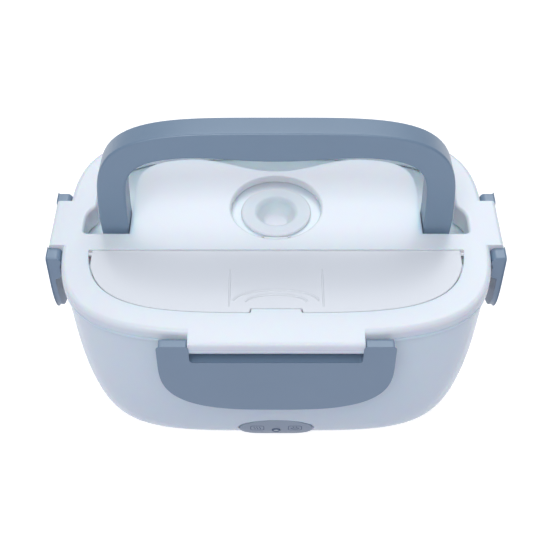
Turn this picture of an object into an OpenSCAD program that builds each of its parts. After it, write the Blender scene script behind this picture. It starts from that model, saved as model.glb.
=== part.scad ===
// Electric lunch box: a heated base, lift-out food trays and a lid held by four swing latches.
// The origin is the middle of the footprint on the table. +Z is up and the front faces -Y.

/* [Lid] */
// Length of the lid, left to right
lid_len = 224; // [210:1:240]
// Depth of the lid, front to rear
lid_dep = 156.4; // [150:0.2:170]
// Squareness of the plan corners, where 2 is an ellipse
corner = 3.65; // [3.3:0.05:4.2]
// Height of the lid's rim above its joint with the body
rim_h = 6.7; // [6.2:0.1:8]
// Radius of the lid's top edge
rim_round = 2.4; // [1:0.2:4]
// Wall of the lid moulding
lid_t = 2; // [1.6:0.1:2.4]
// Gap between the lid and what it sits on
seat_gap = 0.3; // [0.25:0.05:0.5]
// Gap between the lid's plug and the opening of the basin
plug_gap = 1.2; // [0.8:0.1:1.6]

/* [Body] */
// Height of the outer shell, without the feet
shell_h = 90.8; // [85:0.2:100]
// Wall of the outer shell
shell_t = 2.2; // [1.8:0.1:2.4]
// How far the shell's side stands in from the lid's edge
shell_in = 1.3; // [0.8:0.1:2]
// Length that the shell loses to draft, top to bottom
draft_len = 11; // [8:0.5:12]
// Depth that the shell loses to draft, top to bottom
draft_dep = 4.6; // [3:0.2:6]
// Height over which the shell curves in to its base
belly_h = 65; // [50:1:70]
// How far the shell curves in there on each side
belly_in = 12.7; // [9:0.1:14]
// Height of the feet
foot_h = 2; // [1.5:0.5:4]
// Diameter of a foot
foot_d = 13; // [10:0.5:16]

/* [Basin and trays] */
// Width of the basin's rim flange, from its outer edge to the opening
flange_w = 6.4; // [6:0.1:7]
// Thickness of the basin's rim flange
flange_t = 2.2; // [1.8:0.1:2.6]
// Wall of the basin
basin_t = 1.8; // [1.4:0.1:2]
// Width of the ledge that carries the food tray
ledge_w = 3.8; // [3.2:0.1:4.4]
// Height of the space for the heater, under the basin
bay_h = 28; // [26:0.5:32]
// Draft of the basin's and the trays' walls on each side
wall_draft = 4.4; // [3:0.1:6]
// Wall of the food tray and its insert
tray_t = 1.4; // [1:0.1:1.8]
// Thickness of the food tray's flange
tray_flange_t = 1.6; // [1.2:0.1:2]
// Gap between the tray and the basin's wall
tray_gap = 0.8; // [0.6:0.1:1.2]
// Place of the tray's partition, right of the middle
partition_x = 28; // [10:1:40]
// Width of the silicone seal
seal_w = 4; // [3.4:0.1:4.2]

/* [Handle] */
// Thickness of the handle, front to rear when it stands up
handle_t = 17; // [14:0.5:18]
// Width of the handle's arms at their pivots
arm_foot_w = 14.3; // [12:0.1:15]
// Width of the handle's bar
bar_w = 14.4; // [11:0.2:15]
// Depth of the swelling in the middle of the handle's bar
grip_swell = 2.5; // [1:0.1:3]
// Lean of the handle to the rear, from upright
handle_lean = 8; // [4:1:14]
// Depth of the handle's pivots below the top of the lid
pivot_drop = 6.5; // [6:0.1:8]
// Diameter of the handle's pivot pins
pivot_d = 7; // [6:0.1:8]
// Lid rim beside the folded handle
side_land = 14.8; // [13:0.1:16]
// Lid rim behind the folded handle
rear_land = 10.9; // [10.8:0.1:13]

/* [Latches] */
// Half width of the front and rear hinge blocks
long_block = 43; // [36:0.5:48]
// Half width of the side hinge blocks
short_block = 17; // [15:0.5:24]
// Width of an arm of the front and rear latches
long_arm = 14; // [10:0.5:16]
// Width of an arm of the side latches
short_arm = 8; // [7:0.5:10]
// Drop of the front and rear latches below their pins
long_drop = 44.5; // [38:0.5:48]
// Drop of the side latches below their pins
short_drop = 44.5; // [28:0.5:46]
// Thickness of a latch plate
latch_t = 2.8; // [2.2:0.1:3]
// Radius of a latch arm round its pin
barrel_r = 3.7; // [3.4:0.1:3.8]
// Diameter of a latch pin
latch_pin_d = 3; // [2.4:0.1:3.4]
// Drop of the hook below the pin
hook_drop = 16; // [14:0.5:18]

/* [Storage and vent] */
// Length of the spoon compartment
store_len = 196; // [180:1:198]
// Depth of the spoon compartment below the top of the lid
store_h = 12.5; // [10:0.5:13]
// Thickness of the clear cover
cover_t = 1.8; // [1.4:0.1:2]
// Width of the bar between the handle pocket and the spoon compartment
bar_len = 12.7; // [11:0.1:14]
// Diameter of the vent's well
well_d = 48.6; // [46:0.2:52]
// Depth of the vent's well
well_h = 5; // [4:0.2:6]
// Diameter of the silicone vent plug
plug_d = 38; // [36:0.5:39]
// Diameter of the vent's hole
vent_d = 22; // [16:0.2:24]

/* [Electrics] */
// Length of the heated plate
plate_len = 132; // [110:2:140]
// Width of the heated plate
plate_wid = 84; // [70:2:90]
// Width of the mains inlet's opening
inlet_w = 24; // [22:0.5:26]
// Height of the mains inlet's opening
inlet_h = 16.5; // [14:0.5:17]
// Width of the indicator panel
panel_w = 40; // [34:1:46]
// Height of the indicator panel
panel_h = 19.4; // [15:0.2:19.8]
// Diameter of the indicator lamp's lens
lens_d = 4.6; // [3:0.2:6]

/* [Hidden] */

// Colours
white = [0.94, 0.95, 0.97];
blue_grey = [0.47, 0.55, 0.65];
clear = [0.85, 0.9, 0.95, 0.5];
silicone = [0.86, 0.88, 0.9];
steel = [0.7, 0.71, 0.73];
aluminium = [0.78, 0.79, 0.8];
black = [0.12, 0.12, 0.13];

// Fine and coarse counts of points round the body, and the facets of a round part
fine = 64;
coarse = 48;
$fn = 48;
// A cut starts this far outside what it cuts
over = 1;
// Radial clearance of a pin in its bore, and the gap beside a turning part
run = 0.06;
side_gap = 0.3;

// Levels, from the table up
shell_z = foot_h;
flange_z = shell_z + shell_h;
rim_z = flange_z + flange_t;
skirt_z = rim_z + seat_gap;
top_z = skirt_z + rim_h;
pivot_z = top_z - pivot_drop;
pocket_h = pivot_drop + handle_t / 2 + 2 * side_gap;
plug_z = top_z - pocket_h - lid_t;
under_t = 1.2;
seal_proud = 0.7;
seal_z = plug_z - 2 * under_t - seal_proud;
tray_top_z = seal_z - seat_gap;
ledge_z = tray_top_z - tray_flange_t - seat_gap;
basin_z = shell_z + bay_h;
floor_z = basin_z + basin_t;
basin_bend = 9;
wall_z = basin_z + basin_bend;
plate_top_z = floor_z + seat_gap;
tray_z = plate_top_z + seat_gap;
tray_floor_z = tray_z + tray_t;

// Half sizes in plan, from the lid's edge inwards
lid_a = lid_len / 2;
lid_b = lid_dep / 2;
flange_in = 0.2;
open_in = flange_in + flange_w;
plug_in = open_in + plug_gap;
under_in = plug_in + side_gap;
seal_in = under_in + seal_w;
wall_in = open_in + ledge_w;
tray_in = wall_in + tray_gap;
tray_flange_in = open_in + tray_gap;

// The shell's section
corner_low = corner + 0.5;
lip_t = 2.2;
lip_w = 4.4;
lip_gap = 0.4;
belly_from = shell_h - belly_h;

// Places on the lid
store_gap = 0.55;
store_corner = 3.8;
front_land = 13.6;
bar_front_y = -20.3;
bar_rear_y = bar_front_y + bar_len;
pivot_y = bar_rear_y + handle_t / 2 + 1.1;
groove_a = lid_a - side_land;
groove_y = lid_b - rear_land;
handle_gap = 1.2;
handle_side_gap = 4.1;
handle_a = groove_a - handle_side_gap;
handle_l = groove_y - pivot_y - handle_gap;
arm_rise = 12.5;
arm_splay = 1;
arm_flare = 0.4;
arm_in_x = handle_a - arm_splay - arm_foot_w;
grip_half = 50;
pin_show = 2.6;
plateau_a = arm_in_x - pin_show;
plateau_y = pivot_y + handle_l - bar_w - 2;
scoop_d = 10.7;
scoop_half = 48;
pocket_a = plug_in_a() - lid_t;
pocket_y = pivot_y + 12.5;
pocket_round = 11;
vent_y = 12.4;

// Places of the latches
axis_out = 4;
axis_drop = 5.5;
axis_z = top_z - axis_drop;
plate_top = 8.5;
latch_squareness = 3;
block_out = 3.3;
shoulder_in = 2.6;
shoulder_h = 3;
shoulder_slope = 1.5;
hook_in = 1.5;
hook_h = 1.6;
rib_in = hook_in + side_gap;
rib_root = axis_out + shell_in + shell_t / 2;
rib_h = 2.6;
rib_gap = 0.45;
latch_pin_l = 8;

// The storage cover
cover_drop = 0.3;
cover_axis_in = 2.2;
cover_axis_y = bar_front_y - store_gap - cover_axis_in;
cover_axis_z = top_z - cover_drop - cover_t / 2;
cover_ledge = 3;
stub_d = 2;
notch_half = 12.5;
notch_y = 2.6;

// The vent
plug_t = 1.4;
plug_skin = 1.2;
cup_h = 9;
cup_d = 15;
tab_half = 9.5;
tab_len = 3.4;
peg_x = 7;
peg_d = 2.6;
vent_axis_y = vent_y - plug_d / 2 - side_gap - plug_t / 2;
vent_axis_z = top_z - well_h + seat_gap + plug_t / 2;

// The indicator and the mains inlet
panel_z = shell_z + panel_h / 2 + 0.8;
panel_proud = 2;
panel_sink = 0.8;
panel_shares = [0.3, 0.6, 0.85, 1];
lens_z = shell_z + 9;
lens_tilt = 18;
lens_proud = panel_proud * (panel_z + panel_h / 2 - lens_z) / panel_h;
inlet_z = shell_z + lip_t + 11.6;
inlet_wall = 2;
inlet_depth = 20;

// Posts and screws that hold the bottom plate, and the feet
post_x = 50;
post_y = 44;
post_d = 8;
screw_d = 3.5;
pilot_d = 2.9;
screw_l = 11;
screw_head_d = 6;
screw_head_h = 1;
foot_sink = 0.8;
foot_in_x = 23;
foot_in_y = 20;

// The heater and its guards
plate_ledge = 6;
plate_t = 2;
plate_squareness = 3;
heater_t = 5;
heater_l = 60;
heater_w = 34;
heater_z = basin_z - plate_t - heater_t;
clamp_x = 36;
clamp_t = 1;
stat_x = 50;
stat_d = 16;
stat_h = 8;
fuse_x = -50;
fuse_d = 4;
fuse_z = basin_z - plate_t - fuse_d / 2;

// The lamp, and the inlet whose face stands just proud of the rear wall
lens_l = 6;
board_t = 1.6;
inlet_y = -front_wall(0, inlet_z) + 0.6;
bevel = 5;
pin_w = 2;
pin_h = 4;
pins = [[-7, -2], [7, -2], [0, 2]];

// Routes of the leads, from the inlet's pins to the fuse, the thermostat and the lamp board
lead_d = 2;
low_z = inlet_z;
inlet_end_y = inlet_y - inlet_depth - 5.1;
lead_y = -10;
lead_z = heater_z + 3;
heater_end = heater_l / 2 + 0.4;
leads = [
    [[-7, inlet_end_y, low_z], [-7, inlet_end_y - 3, low_z], [-12, 38, low_z + 1], [-30, 30, low_z + 3],
        [-46, 22, fuse_z - 1], [-50, 14, fuse_z], [fuse_x, 9.1, fuse_z]],
    [[fuse_x, -9.1, fuse_z], [fuse_x, -11, fuse_z], [-48, -12, fuse_z - 1], [-42, lead_y, lead_z],
        [-heater_end, lead_y, lead_z]],
    [[7, inlet_end_y, low_z], [7, inlet_end_y - 3, low_z], [12, 38, low_z + 1], [34, 26, low_z + 2],
        [48, 14, basin_z - 13], [stat_x, 5, basin_z - 14]],
    [[stat_x, -5, basin_z - 14], [46, lead_y, basin_z - 13], [38, lead_y, lead_z],
        [heater_end, lead_y, lead_z]],
    for (x = [-1, 1]) [[x * heater_end, -15, lead_z], [x * 34, -15, lead_z], [x * 26, -36, low_z + 2],
        [x * 14, -48, low_z + 2], behind_lens(x * 6, 2, lens_l + board_t + 6),
        behind_lens(x * 6, 2, lens_l + board_t + 0.1)]
];

// The insert, the handle's pins, the vent's tab, the cover's stubs and the spoon
insert_gap = 1;
tray_bend = 7;
partition_h = (tray_top_z - tray_floor_z) * 0.7;
insert_x = partition_x + tray_t / 2 + insert_gap;
pin_x = plateau_a - 6;
pin_bite = 8;
tab_y = vent_axis_y - tab_len / 2 + 0.6;
stub_x = store_len / 2 - 2;
stub_l = 4;
spoon_z = top_z - store_h + seat_gap;
spoon_in = 20.6;
spoon_y = -lid_b + front_land + spoon_in;
bowl_l = 54;
bowl_w = 25;
bowl_h = 4.4;
bowl_x = 44;
neck_x = 14;
grip_l = 80;
grip_w = 13.4;
grip_neck_w = 10;
grip_h = 1.2;
spoon_t = 1.2;

// Points and rings
function signed_pow(v, p) = sign(v) * pow(abs(v), p);
function oval(a, b, e, n) = [
    for (i = [0:n - 1])
        let (t = 360 * i / n)
        [a * signed_pow(cos(t), 2 / e), b * signed_pow(sin(t), 2 / e)]
];
function ring(a, b, e, n, z) = [for (p = oval(a, b, e, n)) [p.x, p.y, z]];
function inset_ring(inset, n, z) = ring(lid_a - inset, lid_b - inset, corner, n, z);
function plug_in_a() = lid_a - plug_in;
function middle(points) = [for (k = [0:2]) sum([for (p = points) p[k]]) / len(points)];
function sum(v, i = 0) = i < len(v) ? v[i] + sum(v, i + 1) : 0;

// The shell's half sizes and squareness at a depth below its top edge
function belly(u) = u <= belly_from ? 0 :
    belly_in * (1 - sqrt(max(0, 1 - pow((u - belly_from) / belly_h, 2))));
function shell_a(u) = lid_a - shell_in - draft_len / 2 * u / shell_h - belly(u);
function shell_b(u) = lid_b - shell_in - draft_dep / 2 * u / shell_h - belly(u);
function shell_e(u) = corner + (corner_low - corner) * u / shell_h;
function shell_ring(u, inset) =
    ring(shell_a(u) - inset, shell_b(u) - inset, shell_e(u), fine, flange_z - u);
function front_wall(x, z) = let (u = flange_z - z)
    -shell_b(u) * pow(1 - pow(abs(x) / shell_a(u), shell_e(u)), 1 / shell_e(u));

// A solid through a stack of rings, closed by a fan at each end
module loft(rings) {
    n = len(rings[0]);
    last = len(rings) - 1;
    points = concat([for (r = rings) each r], [middle(rings[0]), middle(rings[last])]);
    low = n * len(rings);
    sides = [for (r = [0:last - 1], i = [0:n - 1]) let (j = (i + 1) % n) each [
        [r * n + i, (r + 1) * n + i, (r + 1) * n + j],
        [r * n + i, (r + 1) * n + j, r * n + j]
    ]];
    ends = [for (i = [0:n - 1]) let (j = (i + 1) % n) each [
        [low, i, j],
        [low + 1, last * n + j, last * n + i]
    ]];
    polyhedron(points, concat(sides, ends));
}

// A hollow solid through a loop of rings, the last one joined to the first
module loop_loft(rings) {
    n = len(rings[0]);
    count = len(rings);
    points = [for (r = rings) each r];
    sides = [for (r = [0:count - 1], i = [0:n - 1]) let (j = (i + 1) % n, s = (r + 1) % count) each [
        [r * n + i, s * n + i, s * n + j],
        [r * n + i, s * n + j, r * n + j]
    ]];
    polyhedron(points, sides);
}

// A round lead swept along a list of points, with 8 sides
function unit(v) = v / norm(v);
function heading(route, i) = unit(route[min(i + 1, len(route) - 1)] - route[max(i - 1, 0)]);
function lead_ring(route, i, r) = let (
    t = heading(route, i),
    side = unit(cross([0, 0, 1], t)),
    up = cross(t, side)
) [for (k = [0:7]) route[i] + r * (cos(45 * k) * side + sin(45 * k) * up)];
module lead(route, r) loft([for (i = [0:len(route) - 1]) lead_ring(route, i, r)]);

// Flat outlines
module plan(inset, n) polygon(oval(lid_a - inset, lid_b - inset, corner, n));
module plan_slab(inset, z, h, n) translate([0, 0, z]) linear_extrude(h) plan(inset, n);
module plan_ring(outer_in, inner_in, z, h, n) translate([0, 0, z]) linear_extrude(h) difference() {
    plan(outer_in, n);
    plan(inner_in, n);
}

// Places a child on one side of the lid: 0 is the front, 90 the right, 180 the rear and 270 the left
module on_side(turn) {
    out = turn % 180 == 0 ? lid_b : lid_a;
    rotate([0, 0, turn]) translate([0, -out - axis_out, axis_z]) children();
}
function block_of(turn) = turn % 180 == 0 ? long_block : short_block;
function arm_of(turn) = turn % 180 == 0 ? long_arm : short_arm;
module along_x(d, x, l) translate([x, 0, 0]) rotate([0, 90, 0]) cylinder(d = d, h = l);

// Base

module catch_rib(turn) {
    half = block_of(turn) - 8;
    on_side(turn) translate([-half, rib_in, -hook_drop + rib_gap]) cube([2 * half, rib_root - rib_in, rib_h]);
}

module outer_shell() color(white) {
    bends = [90, 86, 79, 70, 60, 48, 35, 20, 0];
    inner_bends = [70, 60, 48, 35, 20, 0];
    low_u = shell_h - lip_t;
    difference() {
        union() {
            loop_loft(concat(
                [for (t = bends) shell_ring(belly_from + belly_h * sin(t), 0)],
                [shell_ring(belly_from / 2, 0), shell_ring(0, 0)],
                [shell_ring(0, shell_t), shell_ring(belly_from / 2, shell_t)],
                [for (i = [len(inner_bends) - 1:-1:0])
                    shell_ring(belly_from + belly_h * sin(inner_bends[i]), shell_t)],
                [shell_ring(low_u, shell_t)],
                [ring(shell_a(shell_h) - lip_w, shell_b(shell_h) - lip_w, corner_low, fine, shell_z + lip_t)],
                [ring(shell_a(shell_h) - lip_w, shell_b(shell_h) - lip_w, corner_low, fine, shell_z)]
            ));
            for (turn = [0, 90, 180, 270]) catch_rib(turn);
        }
        panel_loft(concat(panel_shares, [1.04]), -panel_sink, 3, 0);
        at_lens() translate([0, 0, -over * 4]) cylinder(d = lens_d + side_gap, h = 8 * over);
        at_inlet() translate([-inlet_w / 2 - inlet_wall, -inlet_depth, -inlet_h / 2 - inlet_wall])
            cube([inlet_w + 2 * inlet_wall, 2 * inlet_depth, inlet_h + 2 * inlet_wall]);
    }
}

// The lamp's axis leaves the front wall square to it
module at_lens() translate([0, front_wall(0, lens_z), lens_z]) rotate([90 + lens_tilt, 0, 0]) children();
function behind_lens(x, up, back) = [
    x,
    front_wall(0, lens_z) + back * cos(lens_tilt) - up * sin(lens_tilt),
    lens_z + back * sin(lens_tilt) + up * cos(lens_tilt)
];

module at_inlet() translate([0, inlet_y, inlet_z]) children();

module at_posts() for (x = [-post_x, post_x], y = [-post_y, post_y]) translate([x, y, 0]) children();

module inner_basin() color(white) {
    base_a = lid_a - wall_in - wall_draft;
    base_b = lid_b - wall_in - wall_draft;
    bends = [0, 22.5, 45, 67.5, 90];
    post_z = shell_z + lip_t;
    difference() {
        union() {
            loft(concat(
                [for (t = bends) let (g = basin_bend * (1 - sin(t)) - basin_t)
                    ring(base_a - g, base_b - g, corner, coarse, basin_z + basin_bend * (1 - cos(t)))],
                [inset_ring(wall_in - basin_t, coarse, ledge_z - basin_t)],
                [inset_ring(open_in - basin_t + 0.4, coarse, ledge_z - basin_t)],
                [inset_ring(open_in - basin_t, coarse, flange_z)],
                [inset_ring(flange_in + flange_t / 2, coarse, flange_z)],
                [inset_ring(flange_in, coarse, flange_z + flange_t / 2)],
                [inset_ring(flange_in + flange_t / 3, coarse, rim_z)],
                [inset_ring(open_in, coarse, rim_z)],
                [inset_ring(open_in + 0.4, coarse, ledge_z)],
                [inset_ring(wall_in, coarse, ledge_z)],
                [for (i = [len(bends) - 1:-1:0]) let (t = bends[i], g = (basin_bend - basin_t) * (1 - sin(t)))
                    ring(base_a - g, base_b - g, corner, coarse, floor_z + (basin_bend - basin_t) * (1 - cos(t)))]
            ));
            at_posts() translate([0, 0, post_z]) cylinder(d = post_d, h = basin_z - post_z + basin_t / 2);
        }
        translate([0, 0, basin_z - over]) linear_extrude(basin_t + 2 * over) heater_outline(plate_ledge);
        at_posts() translate([0, 0, post_z - over]) cylinder(d = pilot_d, h = screw_l + over + side_gap);
    }
}

module heater_outline(inset)
    polygon(oval(plate_len / 2 - inset, plate_wid / 2 - inset, plate_squareness, coarse));

module bottom_plate() color(white) difference() {
    translate([0, 0, shell_z]) linear_extrude(lip_t) difference() {
        polygon(oval(shell_a(shell_h) - lip_w - lip_gap, shell_b(shell_h) - lip_w - lip_gap, corner_low, fine));
        at_posts() circle(d = screw_d);
        for (i = [-4:4]) translate([i * 8, 0]) square([2.4, 30], center = true);
    }
    at_posts() translate([0, 0, shell_z - over]) cylinder(d = screw_head_d + side_gap, h = screw_head_h + over);
    at_feet() translate([0, 0, shell_z - over]) cylinder(d = foot_d + side_gap, h = foot_sink + over);
}

module at_feet() for (x = [-1, 1], y = [-1, 1])
    translate([x * (shell_a(shell_h) - foot_in_x), y * (shell_b(shell_h) - foot_in_y), 0]) children();

module rubber_feet() color(black) at_feet()
    rotate_extrude() polygon([[0, 0], [foot_d / 2 - 1, 0], [foot_d / 2, 1],
        [foot_d / 2, shell_z + foot_sink], [0, shell_z + foot_sink]]);

module base_screws() color(steel) at_posts() {
    translate([0, 0, shell_z + 0.1]) cylinder(d = screw_head_d, h = screw_head_h - 0.1);
    translate([0, 0, shell_z + screw_head_h]) cylinder(d = pilot_d, h = screw_l);
}

module heat_plate() color(aluminium) {
    plate_z = basin_z - plate_t;
    translate([0, 0, plate_z]) linear_extrude(plate_t) heater_outline(0);
    translate([0, 0, basin_z]) linear_extrude(plate_top_z - basin_z) heater_outline(plate_ledge + side_gap);
    for (x = [-clamp_x, clamp_x]) translate([x, 0, plate_z - heater_t]) difference() {
        cylinder(d = 7, h = heater_t + over / 2);
        translate([0, 0, -over]) cylinder(d = 2.4, h = heater_t + over);
    }
}

module ptc_heater() color(aluminium) {
    fin = 4;
    translate([-heater_l / 2, -heater_w / 2, heater_z]) difference() {
        cube([heater_l, heater_w, heater_t]);
        for (y = [fin:2 * fin:heater_w - fin]) translate([-over, y, -over])
            cube([heater_l + 2 * over, fin / 2, heater_t / 2 + over]);
    }
}

module heater_clamp() color(steel) difference() {
    union() {
        translate([-clamp_x - 5, -6, heater_z - clamp_t]) cube([2 * clamp_x + 10, 12, clamp_t]);
        for (x = [-clamp_x, clamp_x]) translate([x, 0, heater_z - clamp_t - 2]) cylinder(d = 5, h = 2);
        for (x = [-clamp_x, clamp_x]) translate([x, 0, heater_z - clamp_t]) cylinder(d = 2.4, h = heater_t);
    }
    for (x = [-clamp_x, clamp_x]) translate([x - 2, -0.4, heater_z - clamp_t - 2 - over])
        cube([4, 0.8, 0.8 + over]);
}

module thermostat() color(black) translate([stat_x, 0, basin_z - plate_t - stat_h]) {
    cylinder(d = stat_d, h = stat_h);
    for (y = [-4, 4]) translate([-3, y - 0.4, -5]) cube([6, 0.8, 5]);
}

module thermal_fuse() color(steel) translate([fuse_x, 0, fuse_z]) rotate([90, 0, 0])
    rotate_extrude() polygon([[0, -9], [0.6, -9], [0.6, -6], [fuse_d / 2, -6],
        [fuse_d / 2, 5], [0.6, 6.5], [0.6, 9], [0, 9]]);

module internal_leads() color("firebrick") for (route = leads) lead(route, lead_d / 2);

module mains_inlet() color(black) at_inlet() difference() {
    w = inlet_w + 2 * inlet_wall - side_gap;
    h = inlet_h + 2 * inlet_wall - side_gap;
    translate([-w / 2, -inlet_depth, -h / 2]) cube([w, inlet_depth + 1, h]);
    translate([0, over + 1, 0]) rotate([90, 0, 0]) linear_extrude(inlet_depth - inlet_wall + 1) socket_outline();
    for (p = pins) translate([p[0], -inlet_depth + over + inlet_wall, p[1]]) rotate([90, 0, 0])
        linear_extrude(inlet_wall + 2 * over) square([pin_w + 0.1, pin_h + 0.1], center = true);
}
module socket_outline() polygon([
    [-inlet_w / 2, -inlet_h / 2], [inlet_w / 2, -inlet_h / 2], [inlet_w / 2, inlet_h / 2 - bevel],
    [inlet_w / 2 - bevel, inlet_h / 2], [-inlet_w / 2 + bevel, inlet_h / 2], [-inlet_w / 2, inlet_h / 2 - bevel]
]);
module inlet_pins() color(steel) at_inlet() for (p = pins)
    translate([p[0] - pin_w / 2, -inlet_depth - 5, p[1] - pin_h / 2]) cube([pin_w, inlet_depth + 2, pin_h]);

module lamp_lens() color("palegreen") at_lens() {
    translate([0, 0, -lens_l]) cylinder(d = lens_d, h = lens_l + lens_proud + 0.4);
}
module lamp_board() color("seagreen") at_lens()
    translate([-12, -3.2, -lens_l - board_t]) cube([24, 10, board_t]);

// The oval panel follows the shell's front wall, and its face stands out towards the lower edge
function panel_ring(share, out, n, proud = 0) = [
    for (i = [0:n - 1])
        let (t = 360 * i / n, x = panel_w / 2 * share * cos(t), z = panel_z + panel_h / 2 * share * sin(t))
        [x, front_wall(x, z) - out - proud * (1 - share * sin(t)) / 2, z]
];
module panel_loft(shares, back, face, edge, proud = 0) {
    last = len(shares) - 1;
    loft(concat(
        [for (s = shares) panel_ring(s, back, 40)],
        [for (i = [last:-1:0])
            panel_ring(shares[i] - (i == last ? edge / 5 : 0), face - (i == last ? edge : 0), 40, proud)]
    ));
}
module indicator_panel() color(blue_grey) difference() {
    panel_loft(panel_shares, 0.15 - panel_sink, 0, 0.2, panel_proud);
    at_lens() translate([0, 0, -lens_l]) cylinder(d = lens_d + side_gap, h = 2 * lens_l);
}

// Trays

// The trays' walls run parallel to the basin's, which lose their draft between the ledge and the basin's bend
function drop_at(z) = (ledge_z - z) / (ledge_z - wall_z);
function tray_ring(z, inset) = let (drop = drop_at(z))
    inset_ring(tray_in + inset + wall_draft * drop, coarse, z);
function tray_outside(inset) = [
    tray_ring(tray_z, tray_bend + inset),
    tray_ring(tray_z + tray_bend * 0.08, tray_bend * 0.6 + inset),
    tray_ring(tray_z + tray_bend * 0.4, tray_bend * 0.15 + inset),
    tray_ring(tray_z + tray_bend, inset),
    tray_ring(tray_top_z - tray_flange_t, inset)
];
module food_tray() color([0.93, 0.94, 0.95]) {
    loft(concat(tray_outside(0), [
        inset_ring(tray_flange_in, coarse, tray_top_z - tray_flange_t),
        inset_ring(tray_flange_in, coarse, tray_top_z),
        tray_ring(tray_top_z, tray_t),
        tray_ring(tray_z + tray_bend, tray_t),
        tray_ring(tray_floor_z + tray_bend * 0.3, tray_t + tray_bend * 0.2),
        tray_ring(tray_floor_z, tray_t + tray_bend * 0.9)
    ]));
    intersection() {
        loft(tray_outside(tray_t / 2));
        translate([partition_x - tray_t / 2, -lid_b, tray_floor_z - tray_t / 2]) cube([tray_t, lid_dep, partition_h]);
    }
}

function end_ring(z, inset) = let (
    drop = drop_at(z),
    g = tray_in + tray_t + insert_gap + inset + wall_draft * drop,
    a = lid_a - g,
    b = lid_b - g,
    x0 = insert_x + inset,
    stop = acos(pow(x0 / a, corner / 2))
) [for (i = [0:24]) let (t = stop * (i / 12 - 1))
    [a * pow(cos(t), 2 / corner), b * signed_pow(sin(t), 2 / corner), z]];
module tray_insert() color(blue_grey) {
    low = tray_floor_z + seat_gap;
    high = tray_top_z - 1.6;
    loft([
        end_ring(low, 5),
        end_ring(low + 5, 0.6),
        end_ring(high - 3, 0),
        end_ring(high - 3, -0.6),
        end_ring(high, -0.6),
        end_ring(high, tray_t),
        end_ring(low + 6, tray_t + 0.6),
        end_ring(low + tray_t, tray_t + 4)
    ]);
}

// Lid

// Right to left round the rear of the handle's groove, and round the plateau inside it
function arch(a, b, y0, e, dip) = [
    for (i = [0:60])
        let (
            t = 180 * i / 60,
            r = pow(pow(abs(cos(t)) / a, e) + pow(sin(t) / b, e), -1 / e),
            x = r * cos(t)
        )
        [x, y0 + r * sin(t) - (abs(x) < scoop_half ? dip * (1 + cos(180 * x / scoop_half)) / 2 : 0)]
];
module groove_outline() polygon(concat(
    [[-groove_a, bar_rear_y], [groove_a, bar_rear_y]],
    arch(groove_a, groove_y - pivot_y - arm_rise, pivot_y + arm_rise, 3.8, 0)
));
module plateau_outline(inset) polygon(concat(
    [[-plateau_a + inset, bar_rear_y - over], [plateau_a - inset, bar_rear_y - over]],
    arch(plateau_a - inset, plateau_y - pivot_y - inset, pivot_y, 6.5, scoop_d)
));
module pocket_outline() difference() {
    union() {
        groove_outline();
        translate([-pocket_a, bar_rear_y]) square([2 * pocket_a, pocket_y - bar_rear_y - pocket_round]);
        translate([-pocket_a + pocket_round, bar_rear_y])
            square([2 * (pocket_a - pocket_round), pocket_y - bar_rear_y]);
        for (x = [-pocket_a + pocket_round, pocket_a - pocket_round]) translate([x, pocket_y - pocket_round])
            circle(r = pocket_round);
    }
    plateau_outline(0);
}

// The spoon compartment, drawn in from its walls all round but for its rear edge
module store_outline(inset, rear) {
    a = store_len / 2 - inset;
    b = lid_b - front_land - inset;
    start = asin(pow(-rear / b, store_corner / 2));
    polygon([for (i = [0:32]) let (t = 180 + start + (180 - 2 * start) * i / 32)
        [a * signed_pow(cos(t), 2 / store_corner), b * signed_pow(sin(t), 2 / store_corner)]]);
}
module front_tab(gap) translate([0, -lid_b + front_land - gap]) square([2 * notch_half - 2 * gap, 2 * notch_y], center = true);

module hinge_block(turn) {
    half = block_of(turn);
    side_y = axis_out + rim_round + over;
    on_side(turn) difference() {
        union() {
            translate([-half, 0, 0]) rotate([90, 0, 90]) linear_extrude(2 * half) polygon([
                [-block_out, axis_drop - 4.3], [-block_out, axis_drop - 1], [-block_out + 1, axis_drop],
                [side_y, axis_drop], [side_y, skirt_z - axis_z], [0, skirt_z - axis_z]
            ]);
            along_x(2 * (barrel_r - 0.5), -half, 2 * half);
        }
        for (x = [-1, 1]) along_x(latch_pin_d, x > 0 ? half - latch_pin_l : -half - over, latch_pin_l + over);
    }
}

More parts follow.
